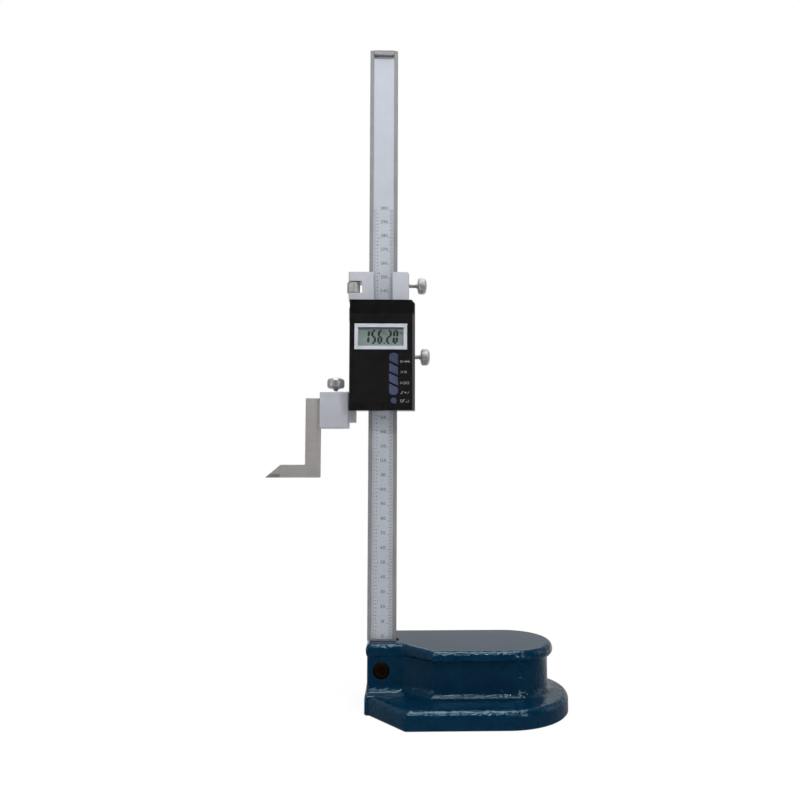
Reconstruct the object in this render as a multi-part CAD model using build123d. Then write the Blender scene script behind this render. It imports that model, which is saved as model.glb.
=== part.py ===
from build123d import *
from math import cos, hypot, radians, sin, sqrt
import os

os.makedirs("parts", exist_ok=True)

# Digital height gauge, 0-300 mm.  Millimetres, +Z up.  The origin is on the ground face of the
# base, below the middle of the beam.  X runs along the base, away from the scriber, and the
# scale faces -Y.  Everything is drawn with the slider at the height READING.

# ---------------------------------------------------------------- driving dimensions
READING = 156.2          # height of the scriber's measuring face above the ground face

# base casting
BASE_H = 45.0            # ground face to the top of the base
LIP_T = 8.5              # thickness of the rounded upper plate
LIP_R = 4.2              # its rounding
FLANGE_T = 12.5          # thickness of the foot flange
FOOT_R = 4.5             # rounding of the flange's upper edge
RISE = 0.8               # slope of the flange's top, up to the foot of the waist
COVE_H = 5.6             # height of the cove that sweeps up into the waist
GROUND_RELIEF = 2.0      # depth of the relief inside the lapped rim
SHOULDER = 0.27          # how far the flange's flat top reaches in towards the waist
TOE = 0.7                # and how far in from there the cove starts
# plan outlines: left end, neck front, start and end of the front taper, half width, right end
UPPER = dict(left=-10.5, neck=10.5, x1=14.0, x2=34.0, half=31.5, right=117.0, clip=11.0)
WAIST = dict(left=-9.6, neck=9.4, x1=15.2, x2=35.0, half=24.6, right=113.4, clip=9.0)
FOOT = dict(left=-11.0, neck=16.0, x1=-7.9, x2=16.0, half=45.5, right=127.0, clip=14.0)
RELIEF = dict(left=24.0, neck=22.0, x1=34.0, x2=44.0, half=34.0, right=115.0, clip=10.0)

# beam and scale
BEAM_W = 20.0
HALF_BEAM = BEAM_W / 2
BEAM_FRONT, BEAM_BACK = -1.5, 5.0
BEAM_TOP = 465.6
TENON_BOTTOM = 8.0       # the beam reaches down into the base to this height
TENON_LEFT = -7.0        # its shouldered left edge there
SLOT_GAP = 1.6           # open slot beside the tenon
RAIL_W = 2.75            # raised rail on each side of the scale's channel
CHANNEL_D = 0.5
STRIP_T = 0.35
STRIP_TOP = 459.0
STOP_H = 3.7             # height of the top stop
STOP_HOLES = (-2.3, 3.7, 6.0)            # its two screws and dowel
STOP_PIN_Z = BEAM_TOP - 2.45
CLAMP_Z = 27.0           # height of the screw that holds the beam in the base
SEAT_Y = BEAM_FRONT - 3.0   # floor of that screw's counterbore
SEAT_D = 11.2
CAP_D, CAP_H, CAP_HEX = 10.0, 4.0, 5.0   # the screw: head, height, hexagon across flats
M6, M6_HOLE, M6_THREAD = 6.0, 6.5, 6.1   # its shank, clearance hole and threaded hole
WASHER_T = 0.8

# slider, measured at READING
HOUSING_W = 45.0
HOUSING_Z0, HOUSING_Z1 = 202.0, 278.4
HOUSING_FRONT = -17.0
WALL = 1.6
FRAME_FRONT, FRAME_BACK = -5.5, 5.2
FRAME_Z0, FRAME_Z1 = 203.2, 274.9
RUN = 0.08               # running gap between slider and beam
GIB_T = 1.6
SLIDER_CLAMP_Z = 241.0

# carriage above the slider
CARRIAGE_X0, CARRIAGE_X1 = -24.1, 18.4
CARRIAGE_FRONT, CARRIAGE_BACK = -7.0, 8.2
CARRIAGE_Z0, CARRIAGE_Z1 = 279.9, 300.2
MOUTH_X0, MOUTH_X1 = -6.5, 6.8
NUT_Z0, NUT_Z1 = 285.6, 293.5
NUT_D = 9.2
NUT_GAP = 0.3            # clearance above and below the nut in its window
WINDOW_X1 = -14.6        # closed end of that window
ADJUST_X, ADJUST_Y = -20.9, -2.4
ADJUST_D = 3.0
CARRIAGE_CLAMP_Z = 292.2

# scriber and its clamp
ARM_X0, ARM_X1 = -43.35, -18.7
ARM_Z0, ARM_Z1 = 194.3, 201.7
SCRIBER_T = 7.6
SCRIBER_Y = (FRAME_FRONT + FRAME_BACK) / 2
BAR_TOP = 211.2
LEG_X0, LEG_X1 = -53.5, -43.5
FOOT_H = 8.8
TIP_X = -80.9
HEEL_X = LEG_X0 - 17.0   # where the foot's flat top ends and its slope begins
SLAB_H, SLAB_L = 2.6, 10.2               # carbide slab brazed under the tip
SLAB_RISE = SLAB_H * (HEEL_X - TIP_X) / FOOT_H
CLAMP_X0, CLAMP_X1 = -43.35, -23.7
CLAMP_Z0, CLAMP_Z1 = 190.2, 215.8
CLAMP_AXIS_X = -33.0
CLAMP_WALL = 2.4
POCKET_TOP = BAR_TOP + 1.3               # roof of the clamp's opening, above the pad

# thumbscrews
SCREW_D = 3.0
HEAD_D, HEAD_H = 11.9, 6.9
COLLAR_R = 2.4
PAD_T, PAD_D = 1.0, 2.8                  # brass pad between a side screw and its gib
TOP_PAD_T, TOP_PAD_D = 0.9, 5.0          # pad between the scriber's screw and its bar
TOP_PAD_Z = BAR_TOP + 0.05

MID_Y = (BEAM_FRONT + BEAM_BACK) / 2


# ---------------------------------------------------------------- small helpers
def block(x0, x1, y0, y1, z0, z1):
    """A box given by its two corners."""
    return Pos((x0 + x1) / 2, (y0 + y1) / 2, (z0 + z1) / 2) * Box(x1 - x0, y1 - y0, z1 - z0)


def rod_x(x0, x1, y, z, d):
    return Pos((x0 + x1) / 2, y, z) * Rot(0, 90, 0) * Cylinder(d / 2, x1 - x0)


def rod_y(y0, y1, x, z, d):
    return Pos(x, (y0 + y1) / 2, z) * Rot(90, 0, 0) * Cylinder(d / 2, y1 - y0)


def rod_z(z0, z1, x, y, d):
    return Pos(x, y, (z0 + z1) / 2) * Cylinder(d / 2, z1 - z0)


def save(name, *solids):
    """Write one node; several separate solids go in as a group."""
    shape = solids[0] if len(solids) == 1 else Compound(children=list(solids))
    shape.label = name
    export_step(shape, f"parts/{name}.step")


# ---------------------------------------------------------------- base casting
def base_plan(left, neck, x1, x2, half, right, clip, corner=2.0):
    """Plan of one level of the base: a narrow neck, a tapered front and a round right end."""
    front = Polyline((left, half - clip), (left, -neck), (x1, -neck), (x2, -half), (right - half, -half))
    end = ThreePointArc((right - half, -half), (right, 0), (right - half, half))
    back = Polyline((right - half, half), (left + clip, half), (left, half - clip))
    face = make_face([front, end, back])
    return fillet([v for v in face.vertices() if v.X < right - half - 0.01], corner)


def inset(plan, d):
    """The same outline moved in by d on every side."""
    slope = hypot(plan["x2"] - plan["x1"], plan["half"] - plan["neck"])
    shift = d * (slope - (plan["x2"] - plan["x1"])) / (plan["half"] - plan["neck"])
    return dict(left=plan["left"] + d, neck=plan["neck"] - d, x1=plan["x1"] + shift,
                x2=plan["x2"] + shift, half=plan["half"] - d, right=plan["right"] - d,
                clip=plan["clip"] - d * (2 - sqrt(2)))


def blend(a, b, t):
    return {key: a[key] + (b[key] - a[key]) * t for key in a}


def rounding(h):
    """Share of the way inwards at height h: upright at the foot, level at the top."""
    return 1 - sqrt(1 - h * h)


def cove(h):
    """Share of the way at height h: level at the foot, upright at the top."""
    return sqrt(1 - (1 - h) ** 2)


def swept_side(lower, upper, z0, z1, curve):
    """Solid between two outlines whose side follows a quarter ellipse."""
    steps = (0.0, 0.07, 0.25, 0.6, 1.0) if curve is cove else (0.0, 0.4, 0.75, 0.93, 1.0)
    return loft([Pos(0, 0, z0 + (z1 - z0) * h) * base_plan(**blend(lower, upper, curve(h)))
                 for h in steps])


def flare(lower, upper, z0):
    """Gently sloping top of the flange, then the cove that ends upright in the waist."""
    levels = [(z0, 0.0)]
    for angle in range(0, 91, 15):
        share = TOE + (1 - TOE) * sin(radians(angle))
        levels.append((z0 + RISE + COVE_H * (1 - cos(radians(angle))), share))
    sections = []
    for z, share in levels:
        plan = blend(lower, upper, share)
        # the narrow neck keeps a wider cove than the long sides
        plan["neck"] = lower["neck"] + (upper["neck"] - lower["neck"]) * share ** 3
        sections.append(Pos(0, 0, z) * base_plan(**plan))
    return loft(sections, ruled=True)


def base_casting():
    shoulder = blend(FOOT, WAIST, SHOULDER)
    edge_z = FLANGE_T - FOOT_R
    body = extrude(base_plan(**FOOT), edge_z)
    body = chamfer(body.edges().group_by(Axis.Z)[0], 0.6)
    body += swept_side(FOOT, shoulder, edge_z, FLANGE_T, rounding)
    body += flare(shoulder, WAIST, FLANGE_T)
    waist_foot = FLANGE_T + RISE + COVE_H
    waist_top = BASE_H - LIP_T
    body += Pos(0, 0, waist_foot) * extrude(base_plan(**WAIST), waist_top - waist_foot)
    body += swept_side(WAIST, UPPER, waist_top, BASE_H - LIP_R, cove)
    body += swept_side(UPPER, inset(UPPER, LIP_R * 0.9), BASE_H - LIP_R, BASE_H, rounding)

    # slot for the beam, its screw, and the relieved middle of the ground face
    body -= block(TENON_LEFT, HALF_BEAM + SLOT_GAP, BEAM_FRONT, BEAM_BACK, TENON_BOTTOM, BASE_H + 1)
    body -= rod_y(-FOOT["half"], SEAT_Y, 0, CLAMP_Z, SEAT_D)
    body -= rod_y(-FOOT["half"], BEAM_FRONT, 0, CLAMP_Z, M6_HOLE)
    body -= rod_y(BEAM_BACK, BEAM_BACK + 14, 0, CLAMP_Z, M6_THREAD)
    return body - extrude(base_plan(**RELIEF, corner=3.0), GROUND_RELIEF)


def cap_screw_y(y_head, x, z, head_d, head_h, socket_af, shank_d, length):
    """Socket cap screw pointing along +Y, its head from y_head inwards."""
    screw = rod_y(y_head, y_head + head_h, x, z, head_d)
    screw = chamfer(screw.edges().group_by(Axis.Y)[0], 0.4)
    screw += rod_y(y_head + head_h, y_head + head_h + length, x, z, shank_d)
    hexagon = Plane((x, y_head, z), z_dir=(0, 1, 0)) * RegularPolygon(socket_af / sqrt(3), 6)
    return screw - extrude(hexagon, head_h * 0.55)


# ---------------------------------------------------------------- beam
def beam():
    bar = block(-HALF_BEAM, HALF_BEAM, BEAM_FRONT, BEAM_BACK, BASE_H, BEAM_TOP)
    bar = chamfer(bar.edges().filter_by(Axis.Z), 0.35)
    bar = chamfer(bar.edges().group_by(Axis.Z)[-1], 0.5)
    bar -= block(-HALF_BEAM + RAIL_W, HALF_BEAM - RAIL_W, BEAM_FRONT - 1, BEAM_FRONT + CHANNEL_D,
                 BASE_H - 1, BEAM_TOP + 1)
    # shallow relief down the back
    bar -= block(-HALF_BEAM + 4, HALF_BEAM - 4, BEAM_BACK - 0.4, BEAM_BACK + 1, BASE_H + 12, BEAM_TOP - 8)
    tenon = block(TENON_LEFT, HALF_BEAM, BEAM_FRONT, BEAM_BACK, TENON_BOTTOM, BASE_H)
    return bar + tenon - rod_y(BEAM_FRONT - 1, BEAM_BACK + 1, 0, CLAMP_Z, M6_HOLE)


def scale_strip():
    half = HALF_BEAM - RAIL_W - 0.05
    floor = BEAM_FRONT + CHANNEL_D
    return block(-half, half, floor - STRIP_T, floor, BASE_H + 1, STRIP_TOP)


def beam_clamp_washer():
    return (rod_y(SEAT_Y - WASHER_T, SEAT_Y, 0, CLAMP_Z, SEAT_D - 0.2)
            - rod_y(SEAT_Y - WASHER_T - 1, SEAT_Y + 1, 0, CLAMP_Z, M6 + 0.2))


def top_stop():
    half = HALF_BEAM - RAIL_W - 0.05
    top = BEAM_TOP - 0.6
    stop = block(-half, half, BEAM_FRONT - 1.3, BEAM_FRONT + CHANNEL_D, top - STOP_H, top)
    stop = chamfer(stop.edges().group_by(Axis.Y)[0], 0.3)
    for x in STOP_HOLES:
        stop -= rod_y(BEAM_FRONT - 2, BEAM_BACK, x, STOP_PIN_Z, 1.3)
    return stop


def stop_pins():
    return [rod_y(BEAM_FRONT - 1.1, BEAM_FRONT + CHANNEL_D, x, STOP_PIN_Z, 1.2) for x in STOP_HOLES]


# ---------------------------------------------------------------- slider frame
GIB_X0 = HALF_BEAM + 0.05
GIB_X1 = GIB_X0 + GIB_T
BORE_X0 = GIB_X1 + 0.05                  # right wall of the channel
CHANNEL_X0 = -HALF_BEAM - RUN            # its left wall
WEB_BACK = BEAM_FRONT - 0.1
HALF_W = HOUSING_W / 2
GIB_SCREW_Z = (216.0, 264.0)
GIB_SCREW_D, GIB_SCREW_L = 3.0, 9.2
SENSOR_Z0, SENSOR_Z1 = 212.0, 268.0      # window through which the sensor faces the scale
PLATE_SCREWS = [(x, z) for x in (-14.2, 14.2) for z in (211.0, 268.0)]
HOUSING_SCREWS = [(x, z) for x in (-19.9, 19.9) for z in (208.0, 256.0)]
PLATE_T = 2.6
PLATE_SCREW_D, HOUSING_SCREW_D = 2.5, 1.9
LUG_Z0 = 265.5           # lug that holds the adjusting screw


def slider_frame():
    body = block(-HALF_W, HALF_W, FRAME_FRONT, FRAME_BACK, FRAME_Z0, FRAME_Z1)
    body = chamfer(body.edges().filter_by(Axis.Z).group_by(Axis.Y)[-1], 1.0)
    # arm that carries the scriber, and the lug that holds the adjusting screw
    body += block(ARM_X0, ARM_X1, FRAME_FRONT, FRAME_BACK, ARM_Z0, ARM_Z1)
    body += block(-HALF_W, ARM_X1, FRAME_FRONT, FRAME_BACK, ARM_Z0, FRAME_Z0 + 0.1)
    body += block(-HALF_W - 1.2, -HALF_W + 1, FRAME_FRONT, ADJUST_Y + 3, LUG_Z0, FRAME_Z1)
    # channel for the beam and gib, sensor window
    body -= block(CHANNEL_X0, BORE_X0, WEB_BACK, FRAME_BACK + 1, FRAME_Z0 - 1, FRAME_Z1 + 1)
    body -= block(-8.0, 8.0, FRAME_FRONT - 1, WEB_BACK + 1, SENSOR_Z0, SENSOR_Z1)
    body -= rod_z(LUG_Z0 + 0.5, FRAME_Z1 + 1, ADJUST_X, ADJUST_Y, ADJUST_D)
    body -= rod_x(BORE_X0 - 1, HALF_W + 1, MID_Y, SLIDER_CLAMP_Z, SCREW_D + 0.1)
    for z in GIB_SCREW_Z:
        body -= rod_x(BORE_X0 - 1, HALF_W + 1, MID_Y, z, GIB_SCREW_D + 0.06)
    for x, z in PLATE_SCREWS:
        body -= rod_y(0, FRAME_BACK + 1, x, z, PLATE_SCREW_D + 0.06)
    for x, z in HOUSING_SCREWS:
        body -= rod_y(FRAME_FRONT - 1, FRAME_BACK + 1, x, z, HOUSING_SCREW_D + 0.4)
        body -= rod_y(FRAME_BACK - 2.2, FRAME_BACK + 1, x, z, 4.4)
    return body


def slider_gib():
    return block(GIB_X0, GIB_X1, BEAM_FRONT + 0.1, BEAM_BACK - 0.1, FRAME_Z0 + 1, FRAME_Z1 - 1)


def gib_set_screws():
    screws = []
    for z in GIB_SCREW_Z:
        screw = rod_x(GIB_X1, GIB_X1 + GIB_SCREW_L, MID_Y, z, GIB_SCREW_D)
        hexagon = Plane((GIB_X1 + GIB_SCREW_L, MID_Y, z), z_dir=(-1, 0, 0)) * RegularPolygon(0.87, 6)
        screws.append(screw - extrude(hexagon, 2))
    return screws


def slider_back_plate():
    plate = block(-17.3, 17.3, FRAME_BACK, FRAME_BACK + PLATE_T, FRAME_Z0 + 2.5, FRAME_Z1 - 1.5)
    plate = fillet(plate.edges().filter_by(Axis.Y), 2.0)
    plate = chamfer(plate.edges().group_by(Axis.Y)[-1], 0.4)
    for x, z in PLATE_SCREWS:
        plate -= rod_y(FRAME_BACK - 1, FRAME_BACK + PLATE_T + 1, x, z, PLATE_SCREW_D + 0.2)
        plate -= rod_y(FRAME_BACK + PLATE_T / 2, FRAME_BACK + PLATE_T + 1, x, z, 4.8)
    return plate


def pan_screws_back(places, y_seat, head_d, head_h, shank_d, length):
    """Cross-head screws driven from behind, their heads seated on y_seat."""
    screws = []
    for x, z in places:
        head = rod_y(y_seat, y_seat + head_h, x, z, head_d)
        head = fillet(head.edges().group_by(Axis.Y)[-1], head_h * 0.45)
        for turn in (0, 90):
            head -= Pos(x, y_seat + head_h, z) * Rot(0, turn, 0) * Box(head_d * 0.55, 0.9, 0.5)
        screws.append(head + rod_y(y_seat - length, y_seat, x, z, shank_d))
    return screws


# ---------------------------------------------------------------- display unit
BEVEL = 1.8              # sloping strip down the housing's right edge
LCD_X0, LCD_X1, LCD_Z0, LCD_Z1 = -19.1, 17.1, 243.8, 261.7
BEZEL_W = 2.5
SLACK = 0.05             # how loosely the bezel, the window and the gibs sit
COVER_X0, COVER_X1, COVER_Z0, COVER_Z1 = -20.6, 1.4, 207.3, 242.6
COVER_T = 1.2
COVER_BEVEL = 0.5        # bevel that a thumbnail catches to slide a cover
TONGUE = 0.5             # how far a sliding cover's edges reach into their grooves
GROOVE_H = 0.65
PORT_Z0, PORT_Z1 = 269.1, 277.6
SOCKET_X0, SOCKET_X1, SOCKET_Z0, SOCKET_Z1 = -16.9, -7.1, 270.7, 275.7
CELL_X, CELL_Z, CELL_D, CELL_T = -9.6, 234.2, 11.6, 5.4
KEY_X0, KEY_X1 = 4.8, 10.9
KEY_EDGES = (241.4, 233.9, 226.75, 219.6, 212.4)
KEY_SLANT = 3.0          # how far each dividing gap falls from left to right
KEY_GAP = 1.5
KEY_GROW = 0.22          # clearance of a key in its hole
SMALL_KEY = (7.9, 208.7, 4.6)
KEY_PROUD = 0.35
PCB_FRONT = FRAME_FRONT - 1.2


def key_outline(index, grow):
    """Front outline of one slanted key, in XZ, grown by a clearance."""
    mid = (KEY_X0 + KEY_X1) / 2
    half = (KEY_X1 - KEY_X0) / 2 + grow
    slope = KEY_SLANT / (KEY_X1 - KEY_X0)
    top, low = KEY_EDGES[index], KEY_EDGES[index + 1]
    gap = KEY_GAP / 2 - grow
    if index == 0:
        upper = [(mid - half, top - 1.6 + grow), (mid + half, top - 1.6 + grow)]
    else:
        upper = [(mid - half, top - gap + slope * half), (mid + half, top - gap - slope * half)]
    if index == len(KEY_EDGES) - 2:
        lower = [(mid + half, low + 1.6 - grow), (mid - half, low + 1.6 - grow)]
    else:
        lower = [(mid + half, low + gap - slope * half), (mid - half, low + gap + slope * half)]
    lines = [Line(upper[1], lower[0]), Line(lower[1], upper[0])]
    if index == 0:
        lines.append(ThreePointArc(upper[0], (mid, top + grow), upper[1]))
    else:
        lines.append(Line(upper[0], upper[1]))
    if index == len(KEY_EDGES) - 2:
        lines.append(ThreePointArc(lower[0], (mid, low - grow), lower[1]))
    else:
        lines.append(Line(lower[0], lower[1]))
    return make_face(lines)


def facing_front(sketch, y):
    """Stand an XZ sketch up at depth y, looking along -Y."""
    return Plane((0, y, 0), x_dir=(1, 0, 0), z_dir=(0, -1, 0)) * sketch


def key_profile(index, grow):
    if index < len(KEY_EDGES) - 1:
        return key_outline(index, grow)
    x, z, size = SMALL_KEY
    return Pos(x, z) * RegularPolygon(size / 2 + grow, 6)


def push_button(index):
    inner = HOUSING_FRONT + WALL
    cap = extrude(facing_front(key_profile(index, 0), inner + 0.1), WALL + 0.1 + KEY_PROUD)
    cap = fillet(cap.edges().group_by(Axis.Y)[0], 0.3)
    flange = extrude(facing_front(key_profile(index, 0.45), inner + 0.45), 0.4)
    return cap + flange


def display_housing():
    front, back = HOUSING_FRONT, FRAME_FRONT
    shell = block(-HALF_W, HALF_W, front, back, HOUSING_Z0, HOUSING_Z1)
    right = shell.edges().filter_by(Axis.Y).group_by(Axis.X)[-1].sort_by(Axis.Z)[-1]
    shell = chamfer(right, 2.4)
    shell = chamfer(shell.edges().filter_by(Axis.Z).group_by(Axis.Y)[0].sort_by(Axis.X)[-1], BEVEL)
    shell = fillet(shell.edges().filter_by(Axis.Z).group_by(Axis.Y)[0].sort_by(Axis.X)[0], 0.5)
    shell -= block(-HALF_W + WALL, HALF_W - WALL - 0.4, front + WALL, back + 1,
                   HOUSING_Z0 + WALL, HOUSING_Z1 - WALL - 1.0)
    floor = front + COVER_T + 0.1
    # battery well and its sliding cover's track
    shell += block(COVER_X0 - 1.6, COVER_X1 + 1.4, floor, floor + 1.2, HOUSING_Z0 + 0.2, COVER_Z1 + 1.2)
    shell += rod_y(floor, PCB_FRONT - 2.4, CELL_X, CELL_Z, CELL_D + 3.0)
    shell -= block(COVER_X0 - 0.1, COVER_X1 + 0.1, front - 1, floor, HOUSING_Z0 - 1, COVER_Z1 + 0.1)
    shell -= block(COVER_X0 - TONGUE - 0.1, COVER_X1 + TONGUE + 0.1, floor - GROOVE_H, floor,
                   HOUSING_Z0 - 1, COVER_Z1 + 0.1)
    shell -= rod_y(floor - 1, FRAME_FRONT, CELL_X, CELL_Z, CELL_D + 0.5)
    # track of the data port cover, and the port behind it
    shell += block(-HALF_W + 0.8, HALF_W - 1.8, floor, floor + 1.2, PORT_Z0 - 1.2, HOUSING_Z1 - 0.6)
    shell -= block(-HALF_W - 1, HALF_W + 1, front - 1, floor, PORT_Z0 - 0.1, PORT_Z1 + 0.1)
    shell -= block(-HALF_W - 1, HALF_W + 1, floor - GROOVE_H, floor, PORT_Z0 - 0.5, PORT_Z1 + 0.4)
    shell -= block(SOCKET_X0 - 0.3, SOCKET_X1 + 0.3, front, back + 1, SOCKET_Z0 - 0.3, SOCKET_Z1 + 0.3)
    # display opening and key holes
    shell -= block(LCD_X0, LCD_X1, front - 1, front + WALL + 1.5, LCD_Z0, LCD_Z1)
    for index in range(len(KEY_EDGES)):
        shell -= extrude(facing_front(key_profile(index, KEY_GROW), front + WALL + 1), WALL + 3)
    # screw bosses
    for x, z in HOUSING_SCREWS:
        shell += rod_y(front + WALL + 1.0, back, x, z, 4.6)
        shell -= rod_y(back - 5, back + 1, x, z, 2.0)
    return shell


def sliding_cover(x0, x1, z0, z1, tongues_in_x):
    """Flat cover with a tongue along its two guided edges and a thumb bevel along its lower one."""
    front = HOUSING_FRONT
    plate = block(x0, x1, front, front + COVER_T, z0, z1)
    plate = chamfer(plate.edges().filter_by(Axis.X).group_by(Axis.Y)[0].sort_by(Axis.Z)[0], COVER_BEVEL)
    dx, dz = (TONGUE, 0) if tongues_in_x else (0, TONGUE - 0.15)
    return plate + block(x0 - dx, x1 + dx, front + COVER_T - 0.5, front + COVER_T, z0 - dz, z1 + dz)


def battery_cover():
    return sliding_cover(COVER_X0, COVER_X1, COVER_Z0, COVER_Z1, True)


def lcd_bezel():
    front = HOUSING_FRONT - 0.2
    ring = block(LCD_X0 + SLACK, LCD_X1 - SLACK, front, front + 1.9, LCD_Z0 + SLACK, LCD_Z1 - SLACK)
    ring = chamfer(ring.edges().group_by(Axis.Y)[0], 0.25)
    return ring - block(LCD_X0 + BEZEL_W, LCD_X1 - BEZEL_W, front - 1, front + 3,
                        LCD_Z0 + BEZEL_W, LCD_Z1 - BEZEL_W)


def lcd_window():
    rim = BEZEL_W + SLACK
    return block(LCD_X0 + rim, LCD_X1 - rim, HOUSING_FRONT + 0.3, HOUSING_FRONT + 1.1,
                 LCD_Z0 + rim, LCD_Z1 - rim)


def lcd_panel():
    return block(-17.1, 16.3, HOUSING_FRONT + 1.75, HOUSING_FRONT + 3.8, 244.6, 261.0)


def lcd_connector():
    """Elastomer strip that joins the display glass to the board."""
    return block(-15.5, 14.5, HOUSING_FRONT + 3.8, PCB_FRONT, 245.0, 247.2)


def sensor_board():
    board = block(-18.0, 18.0, PCB_FRONT, FRAME_FRONT, 204.5, 273.0)
    for x, z in HOUSING_SCREWS:
        board -= rod_y(PCB_FRONT - 1, FRAME_FRONT + 1, x, z, 5.4)
    head = block(-7.8, 7.8, FRAME_FRONT, BEAM_FRONT - 0.2, 212.3, 267.7)
    return board + head


def keypad_mat():
    x0, x1 = KEY_X0 - 2.0, KEY_X1 + 2.0
    front = HOUSING_FRONT + WALL + 1.25
    mat = block(x0, x1, front, PCB_FRONT, 205.0, 243.0)
    return mat - block(x0 + 1, x1 - 1, front + 1, PCB_FRONT + 1, 206.0, 242.0)


def battery():
    cell = rod_y(HOUSING_FRONT + COVER_T + 0.3, HOUSING_FRONT + COVER_T + 0.3 + CELL_T,
                 CELL_X, CELL_Z, CELL_D)
    return chamfer(cell.edges().group_by(Axis.Y)[0], 0.5)


def battery_contact():
    """Bent spring strip between the cell and the board."""
    back = HOUSING_FRONT + COVER_T + 0.3 + CELL_T
    path = Polyline((CELL_X - 4, PCB_FRONT - 0.15), (CELL_X + 3.4, PCB_FRONT - 0.15),
                    (CELL_X + 1.2, back + 0.15), (CELL_X - 2.2, back + 0.15))
    strip = offset(path, amount=0.14, side=Side.BOTH)
    face = make_face(strip.edges()) if not isinstance(strip, Face) else strip
    return Pos(0, 0, CELL_Z - 1.5) * extrude(face, 3.0)


def data_socket():
    front = HOUSING_FRONT + 1.5
    body = block(SOCKET_X0, SOCKET_X1, front, PCB_FRONT, SOCKET_Z0, SOCKET_Z0 + 2.2)
    body += block(SOCKET_X0, SOCKET_X1, front, PCB_FRONT - 2.0, SOCKET_Z0, SOCKET_Z1)
    for k in range(4):
        x = SOCKET_X0 + 1.3 + 2.4 * k
        body -= block(x, x + 1.2, front - 0.1, front + 1.1, SOCKET_Z0 + 1.1, SOCKET_Z1 - 0.9)
    return body


# ---------------------------------------------------------------- thumbscrews
def thumb_head(length, diameter):
    """Round head along +Z, standing on a small collar, with a domed end."""
    r = diameter / 2
    lines = Polyline((0, 0), (COLLAR_R, 0), (COLLAR_R, 0.5), (r - 0.5, 0.5), (r, 1.0), (r, length - 2.2))
    dome = ThreePointArc((r, length - 2.2), (r - 1.15, length - 0.75), (r - 3.4, length - 0.15))
    crown = Polyline((r - 3.4, length - 0.15), (0, length), (0, 0))
    profile = make_face([lines, dome, crown])
    return revolve(Plane.XZ * profile, Axis.Z)


def thumbscrew(shank, length, diameter):
    """Thumbscrew along +Z, its shank starting at the origin."""
    tip = Pos(0, 0, shank / 2) * Cylinder(SCREW_D / 2, shank)
    return tip + Pos(0, 0, shank) * thumb_head(length, diameter)


def side_clamp_screw(z, seat):
    """Thumbscrew on the right-hand side: its head starts at x = seat."""
    start = BORE_X0 + PAD_T
    return Pos(start, MID_Y, z) * Rot(0, 90, 0) * thumbscrew(seat - start, HEAD_H, HEAD_D)


def side_clamp_pad(z):
    return rod_x(BORE_X0, BORE_X0 + PAD_T, MID_Y, z, PAD_D)


# ---------------------------------------------------------------- carriage
def carriage_block():
    body = block(CARRIAGE_X0, CARRIAGE_X1, CARRIAGE_FRONT, CARRIAGE_BACK, CARRIAGE_Z0, CARRIAGE_Z1)
    body = chamfer(body.edges().filter_by(Axis.Z), 0.5)
    top_right = body.edges().filter_by(Axis.Y).group_by(Axis.X)[-1].sort_by(Axis.Z)[-1]
    body = chamfer(top_right, 1.2)
    body -= block(CHANNEL_X0, BORE_X0, WEB_BACK, BEAM_BACK + RUN, CARRIAGE_Z0 - 1, CARRIAGE_Z1 + 1)
    body -= block(MOUTH_X0, MOUTH_X1, CARRIAGE_FRONT - 1, WEB_BACK + 1, CARRIAGE_Z0 - 1, CARRIAGE_Z1 + 1)
    body -= block(CARRIAGE_X0 - 1, WINDOW_X1, CARRIAGE_FRONT - 1, CARRIAGE_BACK + 1,
                  NUT_Z0 - NUT_GAP, NUT_Z1 + NUT_GAP)
    body -= rod_z(CARRIAGE_Z0 - 1, CARRIAGE_Z1 + 1, ADJUST_X, ADJUST_Y, ADJUST_D + 0.4)
    body -= rod_x(BORE_X0 - 1, CARRIAGE_X1 + 1, MID_Y, CARRIAGE_CLAMP_Z, SCREW_D + 0.1)
    return body


def carriage_gib():
    return block(GIB_X0, GIB_X1, BEAM_FRONT + 0.1, BEAM_BACK - 0.1, CARRIAGE_Z0 + 1, CARRIAGE_Z1 - 1)


def fine_adjust_nut():
    nut = rod_z(NUT_Z0, NUT_Z1, ADJUST_X, ADJUST_Y, NUT_D)
    nut = chamfer(nut.edges().filter_by(GeomType.CIRCLE), 0.5)
    return nut - rod_z(NUT_Z0 - 1, NUT_Z1 + 1, ADJUST_X, ADJUST_Y, ADJUST_D + 0.1)


def adjusting_screw():
    return rod_z(LUG_Z0 + 0.5, CARRIAGE_Z1 - 1.0, ADJUST_X, ADJUST_Y, ADJUST_D)


# ---------------------------------------------------------------- scriber
def scriber():
    bottom = READING
    bar_end, bar_low = CLAMP_X1 - 0.6, ARM_Z1 + 0.1
    outline = Polyline((bar_end, BAR_TOP), (LEG_X0, BAR_TOP), (LEG_X0, bottom + FOOT_H),
                       (HEEL_X, bottom + FOOT_H), (TIP_X + SLAB_RISE, bottom + SLAB_H),
                       (TIP_X + SLAB_L, bottom + SLAB_H), (TIP_X + SLAB_L, bottom),
                       (LEG_X1, bottom), (LEG_X1, bar_low), (bar_end, bar_low), close=True)
    bar = extrude(facing_front(make_face(outline), SCRIBER_Y), SCRIBER_T / 2, both=True)
    inner = bar.edges().filter_by(Axis.Y).sort_by_distance((LEG_X0, SCRIBER_Y, bottom + FOOT_H))[0]
    return fillet(inner, 0.8)


def carbide_tip():
    outline = Polyline((TIP_X, READING), (TIP_X + SLAB_L, READING), (TIP_X + SLAB_L, READING + SLAB_H),
                       (TIP_X + SLAB_RISE, READING + SLAB_H), close=True)
    return extrude(facing_front(make_face(outline), SCRIBER_Y), SCRIBER_T / 2, both=True)


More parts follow.
